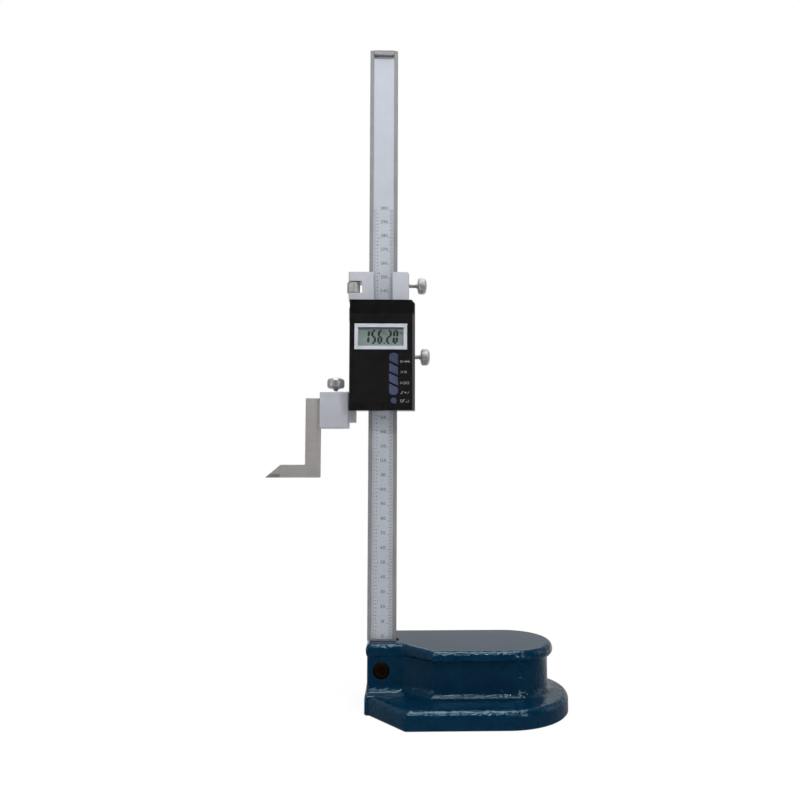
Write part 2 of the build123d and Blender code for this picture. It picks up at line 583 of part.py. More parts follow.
def scriber_clamp():
    """Box that wraps the scriber's bar and the slider's arm."""
    y0, y1 = FRAME_FRONT - CLAMP_WALL, FRAME_BACK + CLAMP_WALL
    box = block(CLAMP_X0, CLAMP_X1, y0, y1, CLAMP_Z0, CLAMP_Z1)
    box = fillet(box.edges().filter_by(Axis.X), 0.8)
    box = chamfer(box.edges().group_by(Axis.X)[0] + box.edges().group_by(Axis.X)[-1], 0.3)
    box -= block(CLAMP_X0 - 1, CLAMP_X1 + 1, FRAME_FRONT - 0.1, FRAME_BACK + 0.1, ARM_Z0, ARM_Z1 + 0.1)
    box -= block(CLAMP_X0 - 1, CLAMP_X1 + 1, SCRIBER_Y - SCRIBER_T / 2 - 0.1,
                 SCRIBER_Y + SCRIBER_T / 2 + 0.1, ARM_Z1, POCKET_TOP)
    return box - rod_z(BAR_TOP, CLAMP_Z1 + 1, CLAMP_AXIS_X, SCRIBER_Y, SCREW_D + 0.1)


def scriber_clamp_screw():
    start = TOP_PAD_Z + TOP_PAD_T
    return Pos(CLAMP_AXIS_X, SCRIBER_Y, start) * thumbscrew(CLAMP_Z1 + 2.1 - start, 8.0, 12.2)


# ---------------------------------------------------------------- write every node
save("base_casting", base_casting())
save("beam", beam())
save("scale_strip", scale_strip())
save("beam_clamp_screw", cap_screw_y(SEAT_Y - WASHER_T - CAP_H, 0, CLAMP_Z, CAP_D, CAP_H, CAP_HEX, M6, 22.0))
save("beam_clamp_washer", beam_clamp_washer())
save("top_stop", top_stop())
save("stop_pins", *stop_pins())

save("slider_frame", slider_frame())
save("slider_gib", slider_gib())
save("gib_set_screws", *gib_set_screws())
save("slider_back_plate", slider_back_plate())
save("back_plate_screws",
     *pan_screws_back(PLATE_SCREWS, FRAME_BACK + PLATE_T / 2, 4.6, 1.3, PLATE_SCREW_D, 6.0))
save("housing_screws", *pan_screws_back(HOUSING_SCREWS, FRAME_BACK - 2.2, 4.0, 1.6, HOUSING_SCREW_D, 13.0))
save("display_housing", display_housing())
save("lcd_bezel", lcd_bezel())
save("lcd_window", lcd_window())
save("lcd_panel", lcd_panel())
save("lcd_connector", lcd_connector())
save("sensor_board", sensor_board())
save("keypad_mat", keypad_mat())
save("battery", battery())
save("battery_contact", battery_contact())
save("data_socket", data_socket())
save("battery_cover", battery_cover())
save("data_port_cover", sliding_cover(-HALF_W + 0.1, HALF_W - BEVEL - 0.1, PORT_Z0, PORT_Z1, False))
for number in range(len(KEY_EDGES)):
    save(f"button_{number + 1}", push_button(number))
save("slider_clamp_pad", side_clamp_pad(SLIDER_CLAMP_Z))
save("slider_clamp_screw", side_clamp_screw(SLIDER_CLAMP_Z, 26.2))

save("adjusting_screw", adjusting_screw())
save("carriage_block", carriage_block())
save("carriage_gib", carriage_gib())
save("fine_adjust_nut", fine_adjust_nut())
save("carriage_clamp_pad", side_clamp_pad(CARRIAGE_CLAMP_Z))
save("carriage_clamp_screw", side_clamp_screw(CARRIAGE_CLAMP_Z, 24.0))

save("scriber", scriber())
save("carbide_tip", carbide_tip())
save("scriber_clamp", scriber_clamp())
save("scriber_clamp_pad", rod_z(TOP_PAD_Z, TOP_PAD_Z + TOP_PAD_T, CLAMP_AXIS_X, SCRIBER_Y, TOP_PAD_D))
save("scriber_clamp_screw", scriber_clamp_screw())
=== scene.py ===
# %% [markdown]
# # A digital height gauge
# This lesson dresses a bench height gauge: an enamelled iron base, an upright steel beam with a
# printed scale, a slider with an electronic display, a fine-adjust carriage and a bent scriber.
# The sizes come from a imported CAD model, which is loaded first and stays as it is. Every piece
# that is added here is made in metres, straight in its place, with its object at the origin.

# %% Load the frame
from math import cos, hypot, pi, radians, sin

import bmesh
import bpy
from mathutils import Matrix, Vector


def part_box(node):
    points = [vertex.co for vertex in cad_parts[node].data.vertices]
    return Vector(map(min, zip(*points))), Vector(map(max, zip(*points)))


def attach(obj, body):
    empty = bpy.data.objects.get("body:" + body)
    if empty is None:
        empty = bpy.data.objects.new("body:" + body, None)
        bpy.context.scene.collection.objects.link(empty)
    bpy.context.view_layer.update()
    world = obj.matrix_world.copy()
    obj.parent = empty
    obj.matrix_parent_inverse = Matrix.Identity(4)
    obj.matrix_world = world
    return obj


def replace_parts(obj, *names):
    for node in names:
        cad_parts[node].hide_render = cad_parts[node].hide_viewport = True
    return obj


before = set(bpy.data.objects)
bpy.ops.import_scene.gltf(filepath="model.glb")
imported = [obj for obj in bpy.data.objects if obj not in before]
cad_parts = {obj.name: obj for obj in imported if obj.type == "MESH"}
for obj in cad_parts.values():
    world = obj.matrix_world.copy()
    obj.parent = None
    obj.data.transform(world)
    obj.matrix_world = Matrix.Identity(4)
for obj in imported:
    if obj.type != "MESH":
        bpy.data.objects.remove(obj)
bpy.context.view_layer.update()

# %% [markdown]
# ## Small helpers
# Colours are written as people pick them, in sRGB, and one function turns them to the linear
# values that shaders expect. One more function adds a node, sets it and links it, so each
# material below reads as a short list of what it is made of.

# %% Helpers for colours, nodes and meshes
MM = 0.001


def linear(code):
    """#RRGGBB to linear RGBA."""
    parts = [int(code[i:i + 2], 16) / 255 for i in (1, 3, 5)]
    return [p / 12.92 if p <= 0.04045 else ((p + 0.055) / 1.055) ** 2.4 for p in parts] + [1.0]


def add_node(tree, kind, settings=None, inputs=None):
    """Add a node; an input that is given a socket is linked to it, any other is set."""
    node = tree.nodes.new(kind)
    for key, value in (settings or {}).items():
        setattr(node, key, value)
    for key, value in (inputs or {}).items():
        if isinstance(value, bpy.types.NodeSocket):
            tree.links.new(value, node.inputs[key])
        else:
            node.inputs[key].default_value = value
    return node


def add_object(name, mesh, body, material=None):
    """Put a finished mesh into the scene as a piece that rides on a body."""
    piece = bpy.data.objects.new(name, mesh)
    bpy.context.scene.collection.objects.link(piece)
    if material is not None:
        mesh.materials.clear()
        mesh.materials.append(material)
    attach(piece, body)
    print("made", name, "with", len(mesh.polygons), "faces")
    return piece


def mesh_from(verts, faces, name):
    mesh = bpy.data.meshes.new(name)
    mesh.from_pydata([tuple(v) for v in verts], [], faces)
    mesh.validate()
    return mesh


print("helpers ready, one millimetre is", MM, "m")

# %% [markdown]
# ## Camera
# The gauge is seen nearly square from the front, from a little to the right and with the eye at
# about the scriber's height, looking slightly up. A longer lens from further off would flatten the
# base to a strip. A wide lens close by shows its top face, so that is used. The lens axis meets
# the frame a little to the right of its middle, which a small shift gives.

# %% Camera
FRAME_PIXELS = 800
FOCAL_PIXELS = 734.4
SHIFT_PIXELS = -26.0
SENSOR = 36.0                             # millimetres across
TILT_UP, TURN = 0.0758, -0.0247           # radians
camera_data = bpy.data.cameras.new("camera")
camera_data.sensor_width = SENSOR
camera_data.lens = SENSOR * FOCAL_PIXELS / FRAME_PIXELS
camera_data.shift_x = SHIFT_PIXELS / FRAME_PIXELS
camera_data.clip_start = 0.01
camera = bpy.data.objects.new("camera", camera_data)
camera.location = (17.65 * MM, -515.93 * MM, 171.24 * MM)
camera.rotation_euler = (pi / 2 + TILT_UP, 0.0, TURN)
bpy.context.scene.collection.objects.link(camera)
bpy.context.scene.camera = camera
print("lens", round(camera_data.lens, 2), "mm")

# %% [markdown]
# ## Studio
# The gauge stands on white paper in a pale room. A uniformly white world would be simpler, but
# black plastic would turn grey in it and metal would lose its darker tones. So the world is white
# only where the camera looks at it. Glossy and clear materials see the same pale room dimmed
# towards the side where the camera stands, as in a real studio, and a low fill reaches the rest.

# %% World
ROOM_FRONT, ROOM_BACK, ROOM_FILL = 0.06, 0.48, 0.2
world = bpy.data.worlds.new("studio")
bpy.context.scene.world = world
world.use_nodes = True
tree = world.node_tree
tree.nodes.clear()
facing = add_node(tree, "ShaderNodeTexCoord")
towards = add_node(tree, "ShaderNodeSeparateXYZ", inputs={"Vector": facing.outputs["Generated"]})
room = add_node(tree, "ShaderNodeMapRange", {"interpolation_type": "SMOOTHSTEP"},
                {"Value": towards.outputs["Y"], "From Min": -0.5, "From Max": 0.8,
                 "To Min": ROOM_FRONT, "To Max": ROOM_BACK})
seen = add_node(tree, "ShaderNodeLightPath")
shiny = add_node(tree, "ShaderNodeMath", {"operation": "MAXIMUM"},
                 {0: seen.outputs["Is Glossy Ray"], 1: seen.outputs["Is Transmission Ray"]})
fill = add_node(tree, "ShaderNodeMix", {"data_type": "FLOAT"},
                {"Factor": shiny.outputs[0], 2: ROOM_FILL, 3: room.outputs[0]})
strength = add_node(tree, "ShaderNodeMix", {"data_type": "FLOAT"},
                    {"Factor": seen.outputs["Is Camera Ray"], 2: fill.outputs[0], 3: 1.0})
sky = add_node(tree, "ShaderNodeBackground",
               inputs={"Color": linear("#FFFFFF"), "Strength": strength.outputs[0]})
add_node(tree, "ShaderNodeOutputWorld", inputs={"Surface": sky.outputs[0]})
print("room from", ROOM_FRONT, "in front to", ROOM_BACK, "behind")

# %% [markdown]
# ### Floor
# The floor is one pale sheet. To the camera it is mostly plain white and keeps a little of the
# gauge's shadow near the base. A floor that is only matte would mirror as a bright plane in the
# enamel and the metal, so glossy rays see it as a glow that is dim in front and bright behind.

# %% Floor
FLOOR_HALF = 3.0
FLOOR_DROP = 0.05 * MM                    # just clear of the lapped rim
GLOW_FROM, GLOW_TO = (-0.1, 0.1), (0.25, 0.9)         # (Y, strength) in front and behind
SHADOW_FROM, SHADOW_TO = (0.15, 0.88), (0.45, 1.0)    # (distance, share of plain white)
floor_mesh = mesh_from([(-FLOOR_HALF, -FLOOR_HALF, 0), (FLOOR_HALF, -FLOOR_HALF, 0),
                        (FLOOR_HALF, FLOOR_HALF, 0), (-FLOOR_HALF, FLOOR_HALF, 0)],
                       [(0, 1, 2, 3)], "floor")
floor = bpy.data.objects.new("floor", floor_mesh)
floor.location.z = -FLOOR_DROP
bpy.context.scene.collection.objects.link(floor)
paper = bpy.data.materials.new("pale_paper")
paper.use_nodes = True
tree = paper.node_tree
tree.nodes.clear()
matte = add_node(tree, "ShaderNodeBsdfDiffuse", inputs={"Color": linear("#FBFBFA")})
seen = add_node(tree, "ShaderNodeLightPath")
shiny = add_node(tree, "ShaderNodeMath", {"operation": "MAXIMUM"},
                 {0: seen.outputs["Is Glossy Ray"], 1: seen.outputs["Is Transmission Ray"]})
spot = add_node(tree, "ShaderNodeTexCoord")
across = add_node(tree, "ShaderNodeSeparateXYZ", inputs={"Vector": spot.outputs["Object"]})
lit = add_node(tree, "ShaderNodeMapRange", {"interpolation_type": "SMOOTHSTEP"},
               {"Value": across.outputs["Y"], "From Min": GLOW_FROM[0], "From Max": GLOW_TO[0],
                "To Min": GLOW_FROM[1], "To Max": GLOW_TO[1]})
mirrored = add_node(tree, "ShaderNodeMix", {"data_type": "FLOAT"},
                    {"Factor": shiny.outputs[0], 2: 1.0, 3: lit.outputs[0]})
away = add_node(tree, "ShaderNodeVectorMath", {"operation": "LENGTH"}, {0: spot.outputs["Object"]})
plain = add_node(tree, "ShaderNodeMapRange", {"interpolation_type": "SMOOTHSTEP"},
                 {"Value": away.outputs["Value"], "From Min": SHADOW_FROM[0],
                  "From Max": SHADOW_TO[0], "To Min": SHADOW_FROM[1], "To Max": SHADOW_TO[1]})
straight = add_node(tree, "ShaderNodeMath", {"operation": "MULTIPLY"},
                    {0: seen.outputs["Is Camera Ray"], 1: plain.outputs[0]})
glow = add_node(tree, "ShaderNodeEmission",
                inputs={"Color": linear("#FFFFFF"), "Strength": mirrored.outputs[0]})
blend = add_node(tree, "ShaderNodeMath", {"operation": "MAXIMUM"},
                 {0: straight.outputs[0], 1: shiny.outputs[0]})
surface = add_node(tree, "ShaderNodeMixShader",
                   inputs={0: blend.outputs[0], 1: matte.outputs[0], 2: glow.outputs[0]})
add_node(tree, "ShaderNodeOutputMaterial", inputs={"Surface": surface.outputs[0]})
floor_mesh.materials.append(paper)
print("floor", 2 * FLOOR_HALF, "m across")

# %% [markdown]
# ### Lamps
# Soft boxes of two kinds light the gauge. Broad ones overhead, at the side and behind give the
# even light. A point lamp would leave hard shadows, and only broad lamps would leave the enamel
# without sparkle. So narrow strips above the front, to the right and to the left are mirrored in
# it as thin lines, which its orange peel breaks into glints.

# %% Lamps


def softbox(name, place, aim, size, power):
    """Rectangular lamp at a place, turned to its aim; sizes in metres, power in watts."""
    lamp = bpy.data.lights.new(name, "AREA")
    lamp.shape = "RECTANGLE"
    lamp.size, lamp.size_y = size
    lamp.energy = power
    holder = bpy.data.objects.new(name, lamp)
    holder.location = place
    holder.rotation_euler = (Vector(aim) - Vector(place)).to_track_quat("-Z", "Y").to_euler()
    bpy.context.scene.collection.objects.link(holder)
    print(name, power, "W")


gauge_middle = (0.02, 0.0, 0.22)
softbox("lamp_overhead", (0.05, -0.16, 1.35), (0.05, -0.1, 0.0), (1.0, 0.6), 14.0)
softbox("lamp_above_front", (0.05, -0.9, 1.05), gauge_middle, (0.8, 0.026), 4.8)
softbox("lamp_right", (0.68, -1.0, 0.44), gauge_middle, (0.05, 0.86), 3.1)
softbox("lamp_left", (-1.0, -0.65, 0.5), gauge_middle, (0.04, 1.0), 2.6)
softbox("lamp_side", (1.3, -0.05, 0.5), gauge_middle, (0.3, 0.9), 1.1)
softbox("lamp_back", (0.1, 1.1, 1.0), gauge_middle, (1.2, 0.6), 3.0)

# %% [markdown]
# ## Finishes
# Every material starts from what the real surface is made of and how it was made. Patterns read
# Object coordinates, which are metres here, so a pattern's scale is one over its real size. Two
# recipes cover the families, bare metal with tool marks and moulded or printed goods. The iron
# base and the clear window are each built on their own.

# %% Start and end of a finish


def new_finish(name):
    material = bpy.data.materials.new(name)
    material.use_nodes = True
    material.node_tree.nodes.clear()
    return material, material.node_tree


def close_finish(material, shader):
    add_node(material.node_tree, "ShaderNodeOutputMaterial", inputs={"Surface": shader.outputs[0]})
    print("finish", material.name)
    return material


# %% [markdown]
# ### Recipe for bare metal
# Grinding, brushing and turning leave fine parallel marks, and handling leaves faint patches. One
# even grey would look like paint. Noise that is stretched along the tool's path gives the marks,
# and a broad noise gives the patches. Real marks are a few hundredths of a millimetre apart and
# would vanish at this distance, so they are drawn as coarse as they need to be to show, at about a
# quarter of a millimetre. Dull plate mirrors less than bare steel, and a lower metallic value than
# one keeps it from going dark in the dim front of the room.

# %% Bare metal
MARK_SHARE, PATCH_SHARE = 0.55, 0.45
PATCH = 14 * MM
MARK_DEPTH = 0.05 * MM


def bare_metal(name, dark, light, roughness, mark_mm, run_mm, along, bump, metallic=1.0):
    """Ground, brushed or plated metal: marks are mark_mm apart and run run_mm along one axis."""
    material, tree = new_finish(name)
    place = add_node(tree, "ShaderNodeTexCoord")
    scale = [1 / (mark_mm * MM)] * 3
    scale["XYZ".index(along)] = 1 / (run_mm * MM)
    marks = add_node(tree, "ShaderNodeMapping",
                     inputs={"Vector": place.outputs["Object"], "Scale": scale})
    lines = add_node(tree, "ShaderNodeTexNoise", inputs={"Vector": marks.outputs[0], "Scale": 1.0,
                                                         "Detail": 4.0, "Roughness": 0.6})
    patches = add_node(tree, "ShaderNodeTexNoise", inputs={"Vector": place.outputs["Object"],
                                                           "Scale": 1 / PATCH, "Detail": 3.0})
    tone = add_node(tree, "ShaderNodeMath", {"operation": "MULTIPLY"},
                    {0: lines.outputs["Fac"], 1: MARK_SHARE})
    both = add_node(tree, "ShaderNodeMath", {"operation": "MULTIPLY_ADD"},
                    {0: patches.outputs["Fac"], 1: PATCH_SHARE, 2: tone.outputs[0]})
    colour = add_node(tree, "ShaderNodeValToRGB", inputs={"Fac": both.outputs[0]})
    for stop, position, code in zip(colour.color_ramp.elements, (0.3, 0.7), (dark, light)):
        stop.position, stop.color = position, linear(code)
    rough = add_node(tree, "ShaderNodeMapRange",
                     inputs={"Value": both.outputs[0], "From Min": 0.3, "From Max": 0.7,
                             "To Min": roughness - 0.08, "To Max": roughness + 0.08})
    relief = add_node(tree, "ShaderNodeBump", inputs={"Height": lines.outputs["Fac"],
                                                      "Strength": bump, "Distance": MARK_DEPTH})
    shader = add_node(tree, "ShaderNodeBsdfPrincipled",
                      inputs={"Base Color": colour.outputs[0], "Metallic": metallic,
                              "Roughness": rough.outputs[0], "Normal": relief.outputs[0]})
    return close_finish(material, shader)


# %% [markdown]
# ### Recipe for moulded and printed goods
# Plastic and rubber take the grain of their mould, and cool a little unevenly, which shows as soft
# clouds of tone and gloss. An image of the grain would be one more file to carry, and a smooth
# shader looks like no plastic at all. Two noises are enough: a fine one for the relief and a broad
# one for the clouds. Real grain is finer than a tenth of a millimetre, and is drawn coarser here
# so that it shows.

# %% Moulded and printed goods
CLOUD = 9 * MM
GRAIN_DEPTH = 0.03 * MM


def moulded(name, dark, light, roughness, grain_mm, bump, ior=1.5):
    """Plastic, rubber or ink: a fine mould grain and a faint unevenness of tone and gloss."""
    material, tree = new_finish(name)
    place = add_node(tree, "ShaderNodeTexCoord")
    grain = add_node(tree, "ShaderNodeTexNoise",
                     inputs={"Vector": place.outputs["Object"], "Scale": 1 / (grain_mm * MM),
                             "Detail": 3.0})
    cloud = add_node(tree, "ShaderNodeTexNoise", inputs={"Vector": place.outputs["Object"],
                                                         "Scale": 1 / CLOUD, "Detail": 4.0})
    colour = add_node(tree, "ShaderNodeValToRGB", inputs={"Fac": cloud.outputs["Fac"]})
    for stop, position, code in zip(colour.color_ramp.elements, (0.35, 0.65), (dark, light)):
        stop.position, stop.color = position, linear(code)
    rough = add_node(tree, "ShaderNodeMapRange",
                     inputs={"Value": cloud.outputs["Fac"], "From Min": 0.3, "From Max": 0.7,
                             "To Min": roughness * 0.8, "To Max": roughness * 1.2})
    relief = add_node(tree, "ShaderNodeBump", inputs={"Height": grain.outputs["Fac"],
                                                      "Strength": bump, "Distance": GRAIN_DEPTH})
    shader = add_node(tree, "ShaderNodeBsdfPrincipled",
                      inputs={"Base Color": colour.outputs[0], "IOR": ior,
                              "Roughness": rough.outputs[0], "Normal": relief.outputs[0]})
    return close_finish(material, shader)


# %% [markdown]
# ### Baked enamel on cast iron
# The base is sand-cast iron under thick glossy enamel. The paint keeps the casting's unevenness
# and adds an orange peel about two millimetres wide, which breaks each highlight into specks. The
# bumps could be displaced in the mesh, but they are shallower than half a millimetre and a bump
# map shows them as well. The plate's top is sanded flatter before it is painted, so the relief
# fades there. Underneath, the rim that stands on the table is lapped bare, and shows the iron.

# %% Enamel
PEEL, CASTING = 2.0 * MM, 7 * MM     # a real peel is finer, and is drawn wide enough to show
PEEL_DEPTH = 0.44 * MM
SANDED = 0.12                        # what is left of the relief on the plate's top
plate_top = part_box("base_casting")[1].z
material, tree = new_finish("baked_enamel_on_iron")
place = add_node(tree, "ShaderNodeTexCoord")
high = add_node(tree, "ShaderNodeSeparateXYZ", inputs={"Vector": place.outputs["Object"]})
peel = add_node(tree, "ShaderNodeTexNoise", inputs={"Vector": place.outputs["Object"],
                                                    "Scale": 1 / PEEL, "Detail": 2.0,
                                                    "Roughness": 0.45})
casting = add_node(tree, "ShaderNodeTexNoise", inputs={"Vector": place.outputs["Object"],
                                                       "Scale": 1 / CASTING, "Detail": 2.0})
height = add_node(tree, "ShaderNodeMath", {"operation": "ADD"},
                  {0: casting.outputs["Fac"], 1: peel.outputs["Fac"]})
sanded = add_node(tree, "ShaderNodeMapRange",
                  inputs={"Value": high.outputs["Z"], "From Min": plate_top - 0.4 * MM,
                          "From Max": plate_top - 0.1 * MM, "To Min": 1.0, "To Max": SANDED})
relief = add_node(tree, "ShaderNodeBump", inputs={"Height": height.outputs[0],
                                                  "Strength": sanded.outputs[0],
                                                  "Distance": PEEL_DEPTH})
colour = add_node(tree, "ShaderNodeValToRGB", inputs={"Fac": casting.outputs["Fac"]})
for stop, position, code in zip(colour.color_ramp.elements, (0.3, 0.7), ("#001F35", "#01263B")):
    stop.position, stop.color = position, linear(code)
enamel = add_node(tree, "ShaderNodeBsdfPrincipled",
                  inputs={"Base Color": colour.outputs[0], "Roughness": 0.09, "IOR": 1.5,
                          "Specular Tint": linear("#C4E4F0"), "Normal": relief.outputs[0]})
lap = add_node(tree, "ShaderNodeTexNoise", inputs={"Vector": place.outputs["Object"],
                                                   "Scale": 1 / (0.8 * MM), "Detail": 4.0})
lap_tone = add_node(tree, "ShaderNodeValToRGB", inputs={"Fac": lap.outputs["Fac"]})
for stop, code in zip(lap_tone.color_ramp.elements, ("#6E6C69", "#A3A19C")):
    stop.color = linear(code)
bare = add_node(tree, "ShaderNodeBsdfPrincipled",
                inputs={"Base Color": lap_tone.outputs[0], "Metallic": 1.0, "Roughness": 0.38})
lapped = add_node(tree, "ShaderNodeMath", {"operation": "LESS_THAN"},
                  {0: high.outputs["Z"], 1: 0.3 * MM})
surface = add_node(tree, "ShaderNodeMixShader",
                   inputs={0: lapped.outputs[0], 1: enamel.outputs[0], 2: bare.outputs[0]})
ENAMEL = close_finish(material, surface)

# %% [markdown]
# ### Metals
# The gauge's metals differ more in how they were finished than in colour, so one recipe makes them
# all, and each line below gives its two greys, its gloss, and how wide and how long its marks are.

# %% Metal finishes
# Ground along its length: faint upright streaks and a soft, rather dark sheen.
BEAM_STEEL = bare_metal("ground_stainless_beam", "#7A7A7D", "#909093", 0.58, 0.35, 40, "Z", 0.25,
                        metallic=0.35)
# Satin chrome behind the printing: pale and dull, so the lines stay easy to read.
SCALE_PLATE = bare_metal("satin_chrome_scale", "#A9AEB7", "#B7BCC5", 0.6, 0.3, 25, "Z", 0.1,
                         metallic=0.35)
# Satin plate on the blocks: an even grain without direction that spreads each reflection.
SATIN = bare_metal("satin_plated_steel", "#B7B9C2", "#C9CBD4", 0.5, 0.25, 0.25, "X", 0.18,
                   metallic=0.55)
# Turned and nickel-plated: warmer and shinier than the blocks, so knurls catch the light.
KNURLED = bare_metal("turned_nickel_plate", "#ABABA9", "#C8C8C7", 0.44, 0.3, 0.3, "Z", 0.12,
                     metallic=0.85)
# Hardened and ground across: browner than the beam, with short level streaks.
TOOL_STEEL = bare_metal("ground_tool_steel", "#9B9696", "#B1ACAC", 0.5, 0.3, 18, "X", 0.3,
                        metallic=0.5)
# Sintered carbide: dark, fine-grained and dull.
CARBIDE = bare_metal("sintered_carbide", "#77756F", "#918F88", 0.45, 0.2, 0.2, "X", 0.15,
                     metallic=0.5)
# Zinc-plated screws: cool and fairly bright.
SCREW_STEEL = bare_metal("zinc_plated_screw", "#8E9094", "#B5B7BB", 0.38, 0.3, 0.3, "Y", 0.15)
# Browned steel: nearly black, with a brown glow at the edges of the socket.
BROWN_STEEL = bare_metal("browned_socket_screw", "#1E140C", "#4A331A", 0.42, 0.6, 0.6, "Y", 0.2)
# Turned brass: a dull yellow that shows only where the clamp pads look out.
BRASS = bare_metal("turned_brass", "#A98442", "#C9A45A", 0.36, 0.2, 0.2, "X", 0.12)
# The cell's nickelled case: the brightest metal, seen when its cover is open.
CELL_STEEL = bare_metal("nickel_cell_case", "#B9B9B6", "#D6D6D3", 0.3, 0.4, 0.4, "Y", 0.08)

# %% [markdown]
# ### Plastics, rubber and ink
# The housing is glossy ABS with hardly any grain, the keys and the mat behind them are silicone
# rubber, and the scale is printed. All of these scatter light under a smooth skin, so one recipe
# serves, with typical refractive indices: about 1.53 for ABS and nylon and 1.41 for silicone.

# %% Plastic, rubber and ink finishes
# Gloss black ABS: nearly black, with clear reflections of the strips.
BLACK_ABS = moulded("gloss_black_abs", "#101011", "#151516", 0.2, 0.8, 0.08, ior=1.53)
# The cover along the top is shinier and a shade deeper than the housing.
COVER_ABS = moulded("deep_black_cover_abs", "#0A0A0C", "#0F0F11", 0.16, 0.8, 0.06, ior=1.53)
# Pale lavender ABS: a soft cool frame around the display.
BEZEL_ABS = moulded("lavender_abs", "#ABB0B8", "#B4B8C4", 0.34, 0.5, 0.1, ior=1.53)
# Silicone keys: matte slate blue with a fine tooth.
KEY_RUBBER = moulded("blue_silicone_key", "#2F374D", "#3D4363", 0.45, 0.35, 0.3, ior=1.41)
# The mat under them is a stronger navy, which hardly shows between them.
MAT_RUBBER = moulded("navy_silicone_mat", "#171C55", "#20266A", 0.5, 0.4, 0.3, ior=1.41)
# Solder resist on the board: green and slightly glossy.
BOARD = moulded("green_circuit_board", "#0F4A2C", "#1A6139", 0.35, 0.6, 0.2, ior=1.55)
# Nylon of the socket and the connector: dull black.
SOCKET = moulded("black_nylon", "#141414", "#1C1C1C", 0.5, 0.4, 0.3, ior=1.53)
# Printed scale ink: a soft black.
DIGIT_INK = moulded("scale_ink", "#16171B", "#22242A", 0.55, 0.2, 0.1)
# Screen-printed signs: a light grey that isn't quite white.
LEGEND_INK = moulded("legend_ink", "#8A8C93", "#9C9EA6", 0.5, 0.2, 0.1)
# Liquid crystal that is switched on: a green black. The cell behind it: grey green, like slate.
SEGMENT = moulded("liquid_crystal_segment", "#040708", "#0A1011", 0.4, 0.3, 0.05)
LCD_GLASS = moulded("liquid_crystal_cell", "#737E7C", "#7F8A88", 0.3, 2.0, 0.02)

# %% [markdown]
# ### Clear window
# The display looks out through a moulded acrylic pane, whose faint waves bend reflections a
# little. Light that passes a refracting pane reaches what lies behind it only along bent paths,
# which a renderer finds slowly, and the display would stay dark. So the pane is transparent to the
# rays that look for lamps, and lets their light in.

# %% Acrylic
WAVE, WAVE_DEPTH = 6 * MM, 0.05 * MM
CLEAR = linear("#F4F7F6")
material, tree = new_finish("clear_acrylic")
place = add_node(tree, "ShaderNodeTexCoord")
wave = add_node(tree, "ShaderNodeTexNoise",
                inputs={"Vector": place.outputs["Object"], "Scale": 1 / WAVE})
relief = add_node(tree, "ShaderNodeBump", inputs={"Height": wave.outputs["Fac"], "Strength": 0.03,
                                                  "Distance": WAVE_DEPTH})
pane = add_node(tree, "ShaderNodeBsdfPrincipled",
                inputs={"Base Color": CLEAR, "Transmission Weight": 1.0, "IOR": 1.49,
                        "Roughness": 0.02, "Normal": relief.outputs[0]})
rays = add_node(tree, "ShaderNodeLightPath")
open_way = add_node(tree, "ShaderNodeBsdfTransparent", inputs={"Color": CLEAR})
lets_light_in = add_node(tree, "ShaderNodeMixShader",
                         inputs={0: rays.outputs["Is Shadow Ray"], 1: pane.outputs[0],
                                 2: open_way.outputs[0]})
ACRYLIC = close_finish(material, lets_light_in)

# %% [markdown]
# ### Who wears what
# Each CAD node keeps its shape and only gets its finish here. One table is easier to check than a
# line for each node, and whatever it forgets is printed.

# %% Assign the finishes
wears = {
    ENAMEL: ["base_casting"],
    BEAM_STEEL: ["beam", "top_stop"],
    SCALE_PLATE: ["scale_strip"],
    SATIN: ["slider_frame", "carriage_block", "scriber_clamp", "slider_back_plate"],
    KNURLED: ["slider_clamp_screw", "carriage_clamp_screw", "scriber_clamp_screw",
              "fine_adjust_nut"],
    TOOL_STEEL: ["scriber", "slider_gib", "carriage_gib", "stop_pins"],
    CARBIDE: ["carbide_tip"],
    SCREW_STEEL: ["gib_set_screws", "back_plate_screws", "housing_screws", "adjusting_screw",
                  "battery_contact"],
    BROWN_STEEL: ["beam_clamp_screw", "beam_clamp_washer"],
    BRASS: ["slider_clamp_pad", "carriage_clamp_pad", "scriber_clamp_pad"],
    CELL_STEEL: ["battery"],
    BLACK_ABS: ["display_housing", "battery_cover"],
    COVER_ABS: ["data_port_cover"],
    BEZEL_ABS: ["lcd_bezel"],
    ACRYLIC: ["lcd_window"],
    LCD_GLASS: ["lcd_panel"],
    KEY_RUBBER: [f"button_{k}" for k in range(1, 6)],
    MAT_RUBBER: ["keypad_mat"],
    BOARD: ["sensor_board"],
    SOCKET: ["data_socket", "lcd_connector"],
}
for finish, names in wears.items():
    for name in names:
        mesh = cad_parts[name].data
        mesh.materials.clear()
        mesh.materials.append(finish)
undressed = set(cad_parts) - {name for names in wears.values() for name in names}
print("without a finish:", sorted(undressed))

# %% [markdown]
# ## Graduations
# The scale is printed on the strip in the beam's channel: millimetres on the right, every fifth
# and tenth line longer, and inches on the left. The lines could be a striped texture, but real
# bars stay sharp from any distance. Lines that repeat at one pitch are a job for Geometry Nodes: a
# row of points, a thin bar on each, and a length picked by the line's number.

# %% Tree for a row of lines


def group_input(group, name, kind, value):
    socket = group.interface.new_socket(name, in_out="INPUT", socket_type=kind)
    if kind != "NodeSocketMaterial":
        socket.default_value = value
    return socket.identifier


